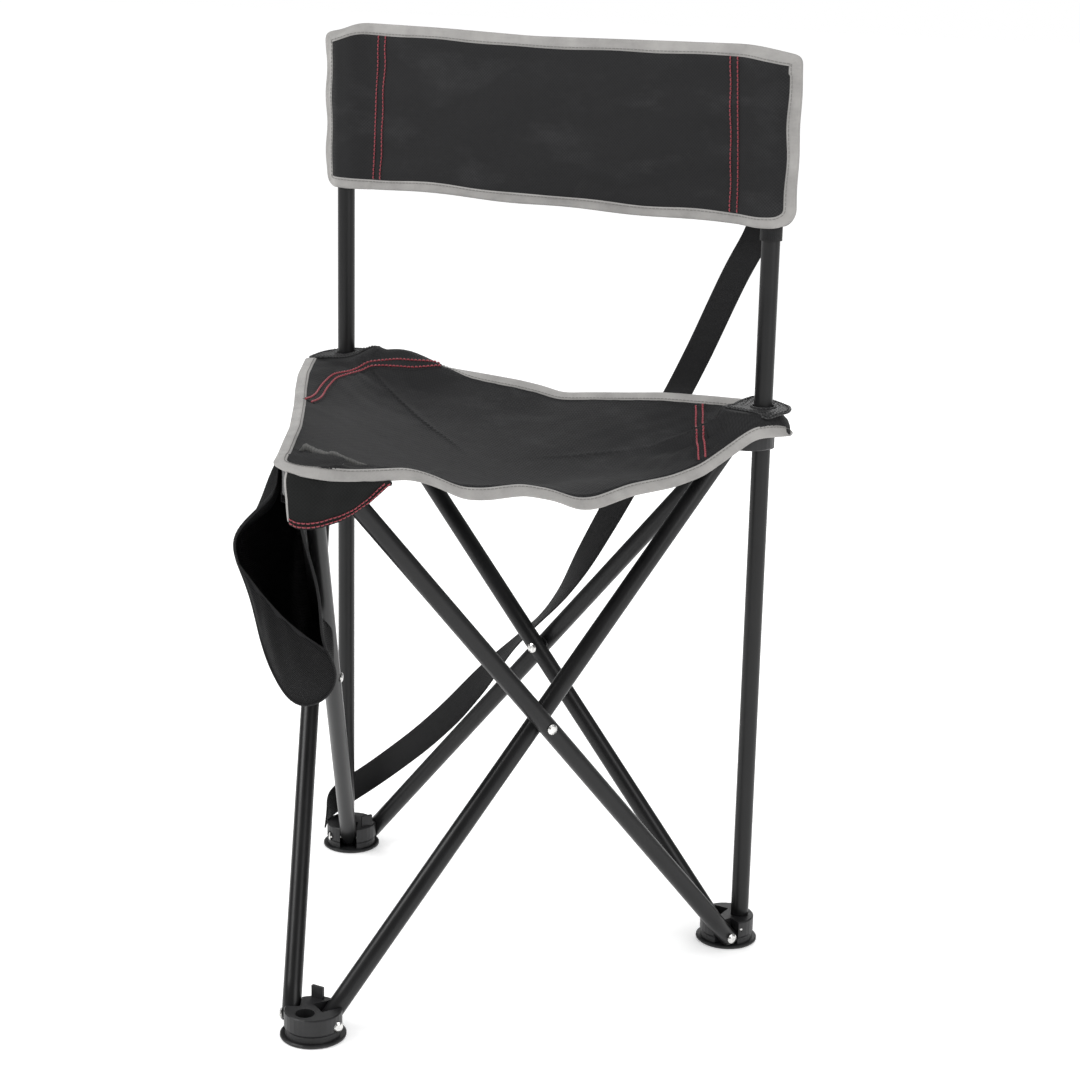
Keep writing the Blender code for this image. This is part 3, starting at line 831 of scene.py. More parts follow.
def seat_height(points):
    """Height of the cloth before it relaxes, and the distance to its edge."""
    away = np.concatenate([
        np.sqrt(((part[:, None] - DENSE_XY[None]) ** 2).sum(-1))
        for part in np.array_split(points, 12)]) + 1e-6
    pull = away ** -2.6
    z = (pull @ DENSE_Z) / pull.sum(1)
    edge = away.min(1) - 1e-6
    shares = corner_shares(points)
    z = z - 0.012 * 27 * shares[:, 0] * shares[:, 1] * shares[:, 2]  # hollow middle
    near, roll = {}, 0.0
    for side, (off, height) in EDGE_ROLLS.items():
        start, outward = SIDES[side][0][:2], SIDES[side][3][:2]
        near[side] = 1 / (((outward @ (points - start).T) - off) ** 2 + 0.020 ** 2) ** 2
        roll = roll + height * near[side]
    total = near["right"] + near["rear"] + near["left"]
    fade = np.exp(-(np.clip(edge - 0.012, 0, None) / 0.045) ** 2)
    z = z + roll / total * ease(edge / 0.0075) * fade
    for corner, top, radius, width in BRACKET_FLATS:
        hold = 1 - ease((plan_distance(points, corner) - radius) / width)
        z = z * (1 - hold) + top * hold
    x, y = points.T
    for hump_x, hump_y, spread_x, spread_y, height in HUMPS:
        hump = np.exp(-((x - hump_x) ** 2 / (2 * spread_x ** 2)
                        + (y - hump_y) ** 2 / (2 * spread_y ** 2)))
        z = z + height * hump * ease(edge / 0.011)
    # soft groove inside the right edge, near the front corner
    s = (points - FRONT[:2]) @ RIGHT_ALONG[:2]
    groove = np.exp(-((edge - 0.0150) / 0.0050) ** 2)
    reach = ease((s + 0.015) / 0.03) * (1 - ease((s - 0.060) / 0.060))
    return z - 0.0022 * groove * reach * near["right"] / total, edge


def seat_grid(n):
    """A triangular grid carried out to the outline along rays from the middle."""
    dirs = [corner[:2] - CENTRE for corner in CORNERS]
    index, plan = {}, []
    for i in range(n + 1):
        for j in range(n + 1 - i):
            k = n - i - j
            index[i, j] = len(plan)
            ray = (dirs[0] * i + dirs[1] * j + dirs[2] * k) / n
            turn = math.atan2(ray[1], ray[0])
            radius = float(np.interp(turn, OUT_ANGLE, OUT_RADIUS)) * (1 - 3 * min(i, j, k) / n)
            plan.append(CENTRE + np.array([math.cos(turn), math.sin(turn)]) * radius)
    faces = []
    for i in range(n):
        for j in range(n - i):
            faces.append((index[i, j], index[i + 1, j], index[i, j + 1]))
            if i + j < n - 1:
                faces.append((index[i + 1, j], index[i + 1, j + 1], index[i, j + 1]))
    rim = [index[n - k, 0] for k in range(n)] + [index[0, k] for k in range(n)]
    rim += [index[k, n - k] for k in range(n)]
    plan = np.array(plan)
    z, edge = seat_height(plan)
    z[rim] = np.interp(np.arctan2(plan[rim, 1] - CENTRE[1], plan[rim, 0] - CENTRE[0]),
                       OUT_ANGLE, OUT_Z)
    return np.column_stack([plan, z]), faces, index, edge


CLOTH_SETTINGS = {
    "quality": 7, "mass": 0.35,
    "tension_stiffness": 60, "compression_stiffness": 60,
    "shear_stiffness": 20, "bending_stiffness": 0.6,
    "tension_damping": 12, "compression_damping": 12,
    "shear_damping": 12, "bending_damping": 1.5, "air_damping": 4,
    "vertex_group_mass": "pin", "shrink_min": -0.020,
}
SIM_FRAMES = 45


def simulate(verts, faces, pins):
    """Lets the sheet hang from its pinned points and returns where it ends."""
    ob = mesh_obj("sim_sheet", (verts, faces, None), None)
    group = ob.vertex_groups.new(name="pin")
    for i in np.flatnonzero(pins):
        group.add([int(i)], 1.0, "REPLACE")
    sim = ob.modifiers.new("sim", "CLOTH")
    for name, value in CLOTH_SETTINGS.items():
        setattr(sim.settings, name, value)
    sim.collision_settings.use_collision = False
    sim.point_cache.frame_start, sim.point_cache.frame_end = 1, SIM_FRAMES
    scene = bpy.context.scene
    for number in range(1, SIM_FRAMES + 1):
        scene.frame_set(number)
    graph = bpy.context.evaluated_depsgraph_get()
    result = np.array([v.co for v in ob.evaluated_get(graph).to_mesh().vertices])
    scene.frame_set(1)
    bpy.data.objects.remove(ob)
    return result


# The cloth relaxes on a coarse grid; the seat itself has twice as many divisions.
COARSE = 66
coarse_verts, coarse_faces, coarse_index, coarse_edge = seat_grid(COARSE)
seat_verts, seat_faces, seat_index, seat_edge = seat_grid(2 * COARSE)
move = np.zeros_like(coarse_verts)
pins = (coarse_edge < 0.0125) | (nearest_corner(coarse_verts) < 0.0275)
move = simulate(coarse_verts, coarse_faces, pins) - coarse_verts
relaxed = np.zeros_like(seat_verts)
for (i, j), vertex in seat_index.items():
    # the two coarse points either side, or twice the one in the same place
    relaxed[vertex] = (move[coarse_index[i // 2, (j + 1) // 2]]
                       + move[coarse_index[(i + 1) // 2, j // 2]]) / 2

# even out the sheet away from its held parts
links = np.array([(face[k], face[(k + 1) % 3]) for face in seat_faces for k in range(3)])
link_count = np.bincount(links.ravel(), minlength=len(seat_verts)).astype(float)
free = ease((seat_edge - 0.009) / 0.010) * ease((nearest_corner(seat_verts) - 0.0280) / 0.010)


def even_out(values, times):
    for _ in range(times):
        total = np.zeros(len(values))
        np.add.at(total, links[:, 0], values[links[:, 1]])
        np.add.at(total, links[:, 1], values[links[:, 0]])
        values = values + 0.6 * free * (total / link_count - values)
    return values


for axis, share, times in ((0, 0.25, 24), (1, 0.25, 24), (2, 1.0, 16)):
    seat_verts[:, axis] += share * even_out(relaxed[:, axis], times)
seat_verts[:, 2] = even_out(seat_verts[:, 2], 8)

# creases running out of the corners: corner, height, number per radian, reach
for corner, height, rate, reach in ((FRONT, 0.0022, 13, 0.028), (REAR_LEFT, 0.0010, 11, 0.050),
                                    (REAR_RIGHT, 0.0012, 13, 0.055)):
    offset = seat_verts[:, :2] - corner[:2]
    away = plan_distance(seat_verts, corner)
    turn = np.arctan2(offset[:, 1], offset[:, 0])
    wave = (np.sin(rate * turn + 60 * away + 1.3)
            + 0.5 * np.sin(2.3 * rate * turn - 190 * away))
    seat_verts[:, 2] += (ease((seat_edge - 0.009) / 0.012) * height * wave
                         * ease((away - 0.0285) / 0.02)
                         * np.exp(-np.clip(away - 0.045, 0, None) / reach))

POST_HOLE_R = 0.0098
open_faces = []
for face in seat_faces:
    middle = seat_verts[list(face), :2].mean(0)
    if all(np.sqrt(((middle - post[:2]) ** 2).sum()) > POST_HOLE_R
           for post in (POST_LEFT, POST_RIGHT)):
        open_faces.append(face)
add_part("seat_cloth", (seat_verts, open_faces, seat_verts[:, :2]), "cloth", seat_weights,
         replaces="seat_fabric", thickness=0.0012)
SEAT_TREE = BVHTree.FromPolygons([Vector(v) for v in seat_verts], seat_faces)


def seat_below(x, y):
    return SEAT_TREE.ray_cast(Vector((x, y, 0.8)), Vector((0, 0, -1)))


def on_seat(x, y):
    """The point of the cloth at (x, y), or the nearest one, and its upward normal."""
    hit = seat_below(x, y)
    if hit[0] is None:
        hit = SEAT_TREE.find_nearest(Vector((x, y, 0.47)))
    normal = np.array(hit[1])
    return np.array(hit[0]), normal if normal[2] > 0 else -normal


# ---------------- seat binding ----------------
def seat_strip(name, line, width, skew=0.0):
    """A folded tape on the cloth along an edge line, with stitches near its inner side.

    skew turns the tape's width toward the rear at the right side's rear end.
    """
    half, across = 0.0011, 6
    along = np.gradient(line, axis=0)
    along[:, 2] = 0
    along = unit_rows(along)
    inward = np.cross(UP, along)
    inward *= np.sign(((MID - line) * inward).sum(1))[:, None]
    if skew:
        from_front = line - FRONT
        near_end = (ease(((from_front @ RIGHT_ALONG) - 0.395) / 0.035)
                    * ((from_front @ RIGHT_OUT) > 0.02))
        inward = unit_rows(inward + RIGHT_ALONG * (skew * near_end)[:, None])
    rows = []
    for start, direction in zip(line, inward):
        points = [start]
        for step in np.linspace(0.0012, 0.0125, 11):
            place = start + direction * step
            hit = seat_below(place[0], place[1])[0]
            points.append(np.array([place[0], place[1], points[-1][2]])
                          if hit is None else np.array(hit))
        rows.append(points)
    rows = smoothed(rows, 2)
    run = run_length(rows[:, 0])
    taper = np.array([1.0] * (across - 1) + [0.75])[:, None]
    verts, uvs, stitch_path, stitch_normals = [], [], [], []
    for i, points in enumerate(rows):
        centre = sample(points, run_length(points), np.linspace(0.0004, width, across))
        slope = np.gradient(centre, axis=0)
        normal = np.cross(along[i], slope)
        normal *= np.sign(normal[:, 2:3] + 1e-9)
        normal = unit_rows(normal)
        normal = unit_rows((normal + normal.mean(0)) / 2)
        fold = centre[0] - unit(slope[0]) * half * 1.1
        lift = normal * half * taper
        section = [*(centre + lift)[::-1], fold + normal[0] * half * 0.45,
                   fold - normal[0] * half * 0.45, *(centre - lift)]
        verts += section
        uvs += [(run[i], 0.0016 * k) for k in range(len(section))]
        stitch_path.append(centre[-2] + normal[-2] * (half + 0.0001))
        stitch_normals.append(normal[-2])
    faces = tube_faces(len(rows), 2 * across + 2)
    add_part(name, (verts, faces, uvs), "binding", seat_weights)
    row = stitches(stitch_path, stitch_normals, pitch=0.0036, length=0.0028,
                   radius=0.00035, lift=0.0)
    add_part(name + "_stitches", row, "grey_thread", seat_weights)


seat_strip("seat_binding_front", front_line, width=0.0100, skew=1.15)
seat_strip("seat_binding_rear", rear_line, width=0.0095)


# ---------------- seat seams ----------------
def plan_path(points, count, step):
    """A smoothed path through plan points, and its sideways direction."""
    path = smoothed(spread(points, count), count // 6)
    path = resample(np.column_stack([path, np.zeros(count)]), step)
    return path, np.cross(UP, tangents(path))


SEAM_GAP = 0.0058         # between the two rows of stitches
SEAM_UNDERSIDE = -0.0006
# (offset across the seam, height over the cloth)
SEAM_TOP = [(-0.0064, -0.0004), (-0.0054, 0.0010), (-0.0042, 0.0012), (-0.0029, 0.0009),
            (-0.0015, 0.0013), (0.0, 0.0015), (0.0015, 0.0013), (0.0029, 0.0009),
            (0.0042, 0.0012), (0.0054, 0.0010), (0.0064, -0.0004)]


def seat_seam(name, points):
    """A double row of red stitches over a slightly raised seam."""
    path, sides = plan_path(points, count=60, step=0.003)

    def line(off, lift):
        hits = [on_seat(*(p + side * off)[:2]) for p, side in zip(path, sides)]
        places, normals = (np.array(column) for column in zip(*hits))
        places[:, 2] = smoothed(places[:, 2], 3)
        normals = unit_rows(smoothed(normals, 3))
        return places + normals * lift, normals

    rows = [stitches(*line(share * SEAM_GAP, 0.0011), pitch=0.0036, length=0.0031,
                     radius=0.00082, lift=0.0001) for share in (-0.5, 0.5)]
    add_part(name, merge(rows), "red", seat_weights)
    lines = [line(off, height)[0] for off, height in SEAM_TOP]
    lines += [line(off, SEAM_UNDERSIDE)[0] for off, _ in SEAM_TOP[::-1]]
    verts = np.stack(lines, 1).reshape(-1, 3)
    add_part(name + "_tape", (verts, tube_faces(len(path), len(lines)), verts[:, :2]),
             "cloth", seat_weights)


# (x, y) along the seams
seat_seam("seat_seam_left", [
    (-0.1548, 0.0354), (-0.1609, 0.0581), (-0.1747, 0.0863), (-0.1848, 0.1129),
    (-0.1871, 0.1266), (-0.1856, 0.1370), (-0.1816, 0.1489), (-0.1799, 0.1644),
    (-0.1742, 0.1742), (-0.1638, 0.1770), (-0.1527, 0.1787), (-0.1423, 0.1813),
    (-0.1324, 0.1847), (-0.1234, 0.1895), (-0.1180, 0.1970)])
seat_seam("seat_seam_right", [
    (0.1525, 0.1976), (0.1555, 0.1915), (0.1639, 0.1756), (0.1754, 0.1541),
    (0.1851, 0.1372), (0.1949, 0.1190)])

# ---------------- fold at the front of the seat ----------------
FOLD_PATH = [(-0.0400, -0.1380), (-0.0270, -0.1400), (-0.0130, -0.1405), (0.0005, -0.1475),
             (0.0130, -0.1490), (0.0265, -0.1380), (0.0385, -0.1240)]
# (share of the path, size)
FOLD_WIDTH = ([0, 0.2, 0.6, 1], [0.0050, 0.0080, 0.0075, 0.0040])
FOLD_HEIGHT = ([0, 0.15, 0.5, 1], [0.0058, 0.0064, 0.0050, 0.0022])
# across the fold: (share of the width, share of the height)
FOLD_SHAPE = ((-1.15, -0.25), (-0.9, 0.10), (-0.6, 0.42), (-0.3, 0.74), (-0.05, 0.97),
              (0.10, 0.96), (0.20, 0.70), (0.14, 0.30), (0.05, -0.2))


def seat_fold():
    """A small pinched fold standing on the cloth, steep toward the right edge, in a paler copy
    of the cloth that paints the sheen on its lit top.
    """
    path, sides = plan_path(FOLD_PATH, count=70, step=0.0025)
    sides *= np.sign((sides @ RIGHT_OUT) + 1e-9)[:, None]
    run = np.linspace(0, 1, len(path))
    width = (np.interp(run, *FOLD_WIDTH) * ease(run / 0.06) * ease((1 - run) / 0.25)
             + 0.0004)
    height = (np.interp(run, *FOLD_HEIGHT) * ease(run / 0.08) * ease((1 - run) / 0.3)
              + 0.0002)
    foot = np.array([[on_seat(*(path[i] + sides[i] * across * width[i])[:2])[0]
                      for across, _ in FOLD_SHAPE] for i in range(len(path))])
    crest = smoothed(foot[:, 4:6, 2].mean(1), 10)
    verts = []
    for i, share in enumerate(run):
        wobble = 1 + 0.07 * math.sin(31 * share) + 0.04 * math.sin(77 * share + 1)
        for (_, rise), (x, y, z) in zip(FOLD_SHAPE, foot[i]):
            top = max(0.0, rise)
            verts.append((x, y, z * (1 - top) + crest[i] * top + 0.0007
                          + rise * height[i] * wobble))
    verts = np.array(verts)
    # the paler cloth copy paints the light falling on the fold's top
    add_part("seat_fold_front", (verts, grid_faces(len(path), len(FOLD_SHAPE)), verts[:, :2]),
             "cloth_lit_copy", seat_weights, thickness=0.0005)


seat_fold()


# ---------------- rear corner patches ----------------
def patch(tag, corner, post, border):
    """Reinforcement over the cloth with a post hole, border stitches and an eyelet."""
    body = "slider_" + tag
    around, rings, hole_r = 72, 9, 0.0092
    border = np.array(border, float)
    closed = np.vstack([border, border[:1]])
    run = run_length(closed)
    ring = smooth_loop(sample(closed, run, np.linspace(0, run[-1], around, endpoint=False)))
    flat_z = REAR_TOP_Z + 0.0014
    verts = []
    for k in range(rings):
        out = k / (rings - 1)
        for i in range(around):
            hole = post + unit((ring[i] - post) * FLAT) * hole_r
            x, y, _ = hole * (1 - out) + ring[i] * out
            z = (flat_z + (ring[i, 2] - flat_z) * ease(out)
                 + 0.0003 * math.sin(9 * out + 0.5 * i))
            verts.append((x, y, max(z, on_seat(x, y)[0][2] + 0.0013)))
    verts = np.array(verts)
    add_part("patch_" + tag, (verts, grid_faces(rings, around, wrap_cols=True), verts[:, :2]),
             "patch", body, replaces="seat_patch_" + tag, thickness=0.0013)

    edge = verts[(rings - 1) * around:]
    inward = verts[(rings - 3) * around:(rings - 2) * around] - edge
    inset = 0.0026 / np.maximum(np.linalg.norm(inward, axis=1), 1e-6)
    path = edge + inward * inset[:, None] + UP * 0.0009
    path = np.vstack([path, path[:1]])
    row = stitches(path, repeated(UP, len(path)), pitch=0.0032, length=0.0025,
                   radius=0.0004, lift=0.0)
    add_part("patch_stitches_" + tag, row, "black_thread", body)

    outward = unit(corner - MID)
    sideways = np.cross(UP, outward)
    turns = np.linspace(0, 2 * math.pi, 40, endpoint=False)
    radial = np.array([outward * math.cos(turn) + sideways * math.sin(turn) for turn in turns])
    path = post + UP * (REAR_TOP_Z + 0.0024) + radial * 0.0102
    eyelet = sweep(path, radial, repeated(UP, len(path)), ellipse(0.0013, 0.0011, 8),
                   closed=True)
    add_part("post_hole_edge_" + tag, eyelet, "patch", body)


# borders as (x, y, z)
patch("left", REAR_LEFT, POST_LEFT, [
    (-0.2430, 0.1600, 0.4950), (-0.2290, 0.1590, 0.4968), (-0.2141, 0.1645, 0.4972),
    (-0.2010, 0.1745, 0.4975), (-0.1935, 0.1860, 0.4985), (-0.1885, 0.1985, 0.5005),
    (-0.1895, 0.2030, 0.5030), (-0.1945, 0.2105, 0.5032), (-0.2100, 0.2110, 0.4995),
    (-0.2270, 0.2075, 0.4985), (-0.2400, 0.1960, 0.4975), (-0.2460, 0.1770, 0.4955)])
patch("right", REAR_RIGHT, POST_RIGHT, [
    (0.1880, 0.1704, 0.4945), (0.2040, 0.1668, 0.4950), (0.2190, 0.1645, 0.4945),
    (0.2343, 0.1632, 0.4925), (0.2405, 0.1715, 0.4950), (0.2452, 0.1815, 0.4968),
    (0.2430, 0.1925, 0.4975), (0.2360, 0.2020, 0.4978), (0.2253, 0.2085, 0.4985),
    (0.2120, 0.2100, 0.5000), (0.1985, 0.2090, 0.5015), (0.1925, 0.1900, 0.4985)])

# ---------------- flap at the front corner ----------------
# Distances run round the corner from where the left side meets it.
ARC_LENGTH = 0.0318 * (ARC_END - ARC_START)
FLAP_START, FLAP_LENGTH, FLAP_OFF = 0.0318, 0.0885, 0.0300
FLAP_COLS, FLAP_ROWS = 60, 16
FLAP_LOW = (  # height of the lower edge
    [0.0335, 0.0360, 0.0423, 0.0510, 0.0603, 0.0756, 0.0871, 0.1001, 0.1091, 0.1176],
    [0.4500, 0.4452, 0.4426, 0.4424, 0.4434, 0.4466, 0.4508, 0.4580, 0.4652, 0.4712])


def flap_point(s):
    """Plan point, outward direction and the seat edge's height."""
    if s <= ARC_LENGTH:
        share = s / ARC_LENGTH
        direction = arc_direction(share)
        return FRONT + direction * FLAP_OFF, direction, float(np.interp(share, *ARC_Z))
    past = s - ARC_LENGTH
    return (FRONT + RIGHT_ALONG * past + RIGHT_OUT * FLAP_OFF, RIGHT_OUT,
            soft(past, RIGHT_Z))


def clear_rivets(verts, normals):
    """Pushes the flap out over the rivet heads behind it."""
    for ob in bpy.data.objects:
        if not (ob.name.startswith("top_rivet_") and ob.type == "MESH"):
            continue
        head = np.array([ob.matrix_world @ v.co for v in ob.data.vertices])
        for i, normal in enumerate(normals):
            offset = head - verts[i]
            flat = np.linalg.norm(offset - np.outer(offset @ normal, normal), axis=1)
            gap = flat.min()
            if gap < 0.012:
                need = (offset @ normal)[flat < gap + 0.006].max() + 0.0011
                if 0 < need < 0.006:
                    verts[i] += normal * need * math.exp(-(max(0, gap - 0.003) / 0.004) ** 2)


def corner_flap():
    verts, uvs, normals = [], [], []
    for j in range(FLAP_ROWS):
        down = j / (FLAP_ROWS - 1)
        for i in range(FLAP_COLS):
            s = FLAP_START + FLAP_LENGTH * i / (FLAP_COLS - 1)
            s += 0.0030 * down * (1 - i / (FLAP_COLS - 1)) ** 2
            point, normal, top = flap_point(s)
            low = float(np.interp(s, *FLAP_LOW))
            z = top - 0.0004 + (low - top + 0.0004) * down
            bulge = (0.0010 * float(ease(down / 0.12)) + 0.0014 * math.sin(math.pi * down)
                     + 0.0016 * down + 0.0005 * math.sin(s * 210 + 4 * down)
                     + 0.0004 * math.sin(s * 90 - 9 * down))
            verts.append(point + normal * bulge + UP * (z - point[2]))
            normals.append(normal)
            uvs.append((s, z))
    verts, normals = np.array(verts), np.array(normals)
    clear_rivets(verts, normals)
    add_part("corner_flap", (verts, grid_faces(FLAP_ROWS, FLAP_COLS), uvs), "cloth_dark",
             flap_weights, replaces="front_corner_pocket", thickness=0.0011)

    grid = verts.reshape(FLAP_ROWS, FLAP_COLS, 3)
    rows = []
    for up in (0.0018, 0.0050):  # rows of stitches above the lower edge
        path, ups = [], []
        for i in range(FLAP_COLS):
            column = grid[::-1, i]
            run = run_length(column)
            if run[-1] > up * 1.5:
                path.append(sample(column, run, up) + normals[i] * 0.0008)
                ups.append(normals[i])
        rows.append(stitches(path[1:-1], ups[1:-1], pitch=0.0036, length=0.0029,
                             radius=0.00052, lift=0.0002))
    add_part("corner_flap_stitches", merge(rows), "red", flap_weights)

    across = unit((verts[1] - verts[0]) * FLAT)
    binding = sweep(grid[:, 0], repeated(across, FLAP_ROWS), repeated(normals[0], FLAP_ROWS),
                    tape_section(width=0.0015, half=0.0007))
    add_part("corner_flap_binding", binding, "binding", flap_weights)


corner_flap()

# ---------------- backrest ----------------
BACK_HALF_WIDTH, BACK_Z0, BACK_Z1 = 0.2385, 0.6548, 0.8035
BACK_MID_Z = (BACK_Z0 + BACK_Z1) / 2
POST_X, POST_Y = abs(POST_LEFT[0]), POST_LEFT[1]
BACK_COLS, BACK_ROWS = 170, 72
HEM = 0.0009    # least distance of a layer from the middle plane
# (x, z) of the upper and lower edges
BACK_TOP = (
    [-0.2400, -0.2364, -0.2230, -0.2052, -0.1152, -0.0195, 0.0942, 0.1909, 0.2140, 0.2277,
     0.2400],
    [0.7965, 0.7970, 0.7978, 0.8058, 0.8042, 0.8008, 0.8018, 0.8024, 0.7990, 0.7965, 0.7945])
BACK_LOW = ([-0.2400, -0.2243, -0.1527, -0.0307, 0.0711, 0.2048, 0.2215, 0.2400],
            [0.6575, 0.6562, 0.6580, 0.6556, 0.6546, 0.6536, 0.6532, 0.6560])
BACK_WEIGHTS = between_posts(front_share=0.6)


def back_top(x):
    return soft(x, BACK_TOP, reach=0.010)


def back_low(x):
    return soft(x, BACK_LOW, reach=0.014) + 0.0007 * np.sin(x * 47 + 0.6)


def puff(x, z):
    """How far a layer stands off the middle plane, widening to pass the uprights."""
    side = np.abs(x)
    low, high = back_low(x), back_top(x)
    base = 0.0024 + 0.0015 * np.sin(x * 21 + 0.7) * np.sin((z - BACK_Z0) * 26 + 0.4)
    toward = ease((side - 0.1850) / 0.0270)
    off = base * (1 - toward) + 0.0094 * toward
    past = POST_X + 0.0035    # beyond here it closes again
    closing = 1 - ease((side - past) / (BACK_HALF_WIDTH - POST_X - 0.0050))
    off = np.where(side > past, HEM + 0.0085 * closing, off)
    off = HEM + (off - HEM) * ease((high - z) / (0.0125 - 0.0047 * toward))
    return np.where(side < 0.190, HEM + (off - HEM) * ease((z - low) / 0.012), off)


# waves on each face: rate in x, rate in z, phase, share of the height
rng = np.random.RandomState(7)
CREASES = {tag: [(rng.uniform(-70, 70), rng.uniform(10, 120), rng.uniform(0, 6.3),
                  rng.uniform(0.2, 1.0)) for _ in range(12)] for tag in ("front", "back")}


def creases(x, z, tag):
    height = 0.0
    for rate_x, rate_z, phase, share in CREASES[tag]:
        height = height + share * np.sin(rate_x * x + rate_z * z + phase
                                         + 1.4 * np.sin(9 * x + phase))
    inside = ease((z - back_low(x) - 0.009) / 0.02) * ease((back_top(x) - z - 0.010) / 0.02)
    side = np.abs(x)
    pull = (0.0009 * np.sin((z - BACK_Z0) * 150) * np.exp(-((side - 0.165) / 0.03) ** 2)
            * ease((0.186 - side) / 0.01))
    return (0.00034 * height * ease((0.2000 - side) / 0.03) + pull) * inside


def back_y(x, z, tag, sign):
    return POST_Y + sign * (puff(x, z) + creases(x, z, tag))


def round_corners(x, z):
    """Draws the corners of the upright rectangle in to their radii."""
    radius = np.where(z > BACK_MID_Z, 0.0062, np.where(x > 0, 0.0150, 0.0085))
    core_x, core_z = BACK_HALF_WIDTH - radius, (BACK_Z1 - BACK_Z0) / 2 - radius
    over_x, over_z = np.abs(x) - core_x, np.abs(z - BACK_MID_Z) - core_z
    in_corner = (over_x > 0) & (over_z > 0)
    reach = np.maximum(over_x, over_z)
    away = np.hypot(over_x, over_z) + 1e-12
    new_x = np.where(in_corner, core_x + over_x / away * reach, np.abs(x))
    new_z = np.where(in_corner, core_z + over_z / away * reach, np.abs(z - BACK_MID_Z))
    return (new_x * np.sign(x + 1e-12),
            new_z * np.sign(z - BACK_MID_Z + 1e-12) + BACK_MID_Z)


def back_grid():
    """x and z of the backrest's points, column by column."""
    x, z = np.meshgrid(np.linspace(-BACK_HALF_WIDTH, BACK_HALF_WIDTH, BACK_COLS),
                       np.linspace(BACK_Z0, BACK_Z1, BACK_ROWS), indexing="ij")
    x, z = round_corners(x, z)
    up = (z - BACK_Z0) / (BACK_Z1 - BACK_Z0)
    z = back_low(x) + (back_top(x) - back_low(x)) * up
    ripple = np.where(x < 0, 0.0010, 0.0004) * np.sin(up * 17 + 1.0)
    return x + ripple * ease((np.abs(x) - 0.222) / 0.016), z


def back_tape(tag, sign, ring):
    """The folded tape on one face of the backrest, round the whole panel."""
    width, half, under, across = 0.0082, 0.0010, 0.0006, 6
    name = "backrest_binding_" + tag
    ring = ring[:, [0, 2]]
    along = unit_rows(np.roll(ring, -1, 0) - np.roll(ring, 1, 0))
    inward = np.column_stack([-along[:, 1], along[:, 0]])
    to_centre = (np.array([0.0, BACK_MID_Z]) - ring) * np.array([0.3, 1.0])
    inward *= np.sign((to_centre * inward).sum(1))[:, None]
    inward = unit_rows(smooth_loop(inward))
    run = run_length(ring)
    taper = np.array([1.0] * (across - 1) + [0.7])
    verts, uvs, row = [], [], []
    for i, point in enumerate(ring):
        wide = width * (1.12 if point[1] > 0.78 else 1.0) + 0.0004 * math.sin(run[i] * 70)
        places = point + inward[i] * (np.linspace(0.0, 1.0, across) * wide)[:, None]
        x, z = places.T
        y = back_y(x, z, tag, sign)
        fold = point - inward[i] * half
        section = [*np.column_stack([x, y + sign * half * taper, z])[::-1],
                   (fold[0], y[0] + sign * half * 0.5, fold[1]),
                   (fold[0], y[0] - sign * under, fold[1]),
                   *np.column_stack([x, y - sign * under, z])]
        verts += section
        uvs += [(run[i], 0.0014 * k) for k in range(len(section))]
        place = point + inward[i] * wide * 0.80
        seam_y = float(back_y(place[:1], place[1:], tag, sign)[0])
        row.append((place[0], seam_y + sign * (half + 0.0001), place[1]))
    faces = tube_faces(len(ring), 2 * across + 2, closed=True)
    add_part(name, (verts, faces, uvs), "binding", BACK_WEIGHTS)
    row = np.array(row + row[:1])
    row = stitches(row, repeated([0, sign, 0], len(row)), pitch=0.0036, length=0.0028,
                   radius=0.00034, lift=0.0)
    add_part(name + "_stitches", row, "grey_thread", BACK_WEIGHTS)


BACK_SEAMS = ((-0.1856, -0.1800), (-0.1784, -0.1722),  # x at the bottom and top
              (0.1792, 0.1748), (0.1862, 0.1816))


def back_seams(tag, sign):
    rows = []
    for x_low, x_high in BACK_SEAMS:
        up = np.linspace(0, 1, 60)
        x = x_low + (x_high - x_low) * up
        low = back_low(x) + 0.0085
        z = low + (back_top(x) - 0.0090 - low) * up
        path = np.column_stack([x, back_y(x, z, tag, sign) + sign * 0.0008, z])
        rows.append(stitches(path, repeated([0, sign, 0], len(path)), pitch=0.0036,
                             length=0.0030, radius=0.00058, lift=0.0))
    add_part("backrest_seams_" + tag, merge(rows), "red", BACK_WEIGHTS)


def back_layer(tag, sign, x, z):
    """One face of the backrest; sign is the way it faces along Y."""
    from_edge = np.minimum(back_top(x) - z, z - back_low(x))
    tucked = 0.0006 * (1 - ease((from_edge - 0.0055) / 0.0025))  # under the tape
    layer = np.stack([x, back_y(x, z, tag, sign) - sign * tucked, z], -1)
    verts = layer.reshape(-1, 3)
    faces = []
    for i in range(BACK_COLS - 1):
        for j in range(BACK_ROWS - 1):
            here, after = i * BACK_ROWS + j, (i + 1) * BACK_ROWS + j
            face = (here, after, after + 1, here + 1)
            faces.append(face[::-1] if sign > 0 else face)
    ob = add_part("backrest_" + tag, (verts, faces, verts[:, [0, 2]]), "cloth",
                  BACK_WEIGHTS, thickness=0.0008)
    if tag == "front":
        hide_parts("backrest_fabric")
    ring = np.vstack([layer[:, 0], layer[-1, 1:], layer[::-1, -1][1:], layer[0, ::-1][1:-1]])
    back_tape(tag, sign, smooth_loop(ring))
    back_seams(tag, sign)


back_x, back_z = back_grid()
for tag, sign in (("front", -1), ("back", 1)):
    back_layer(tag, sign, back_x, back_z)

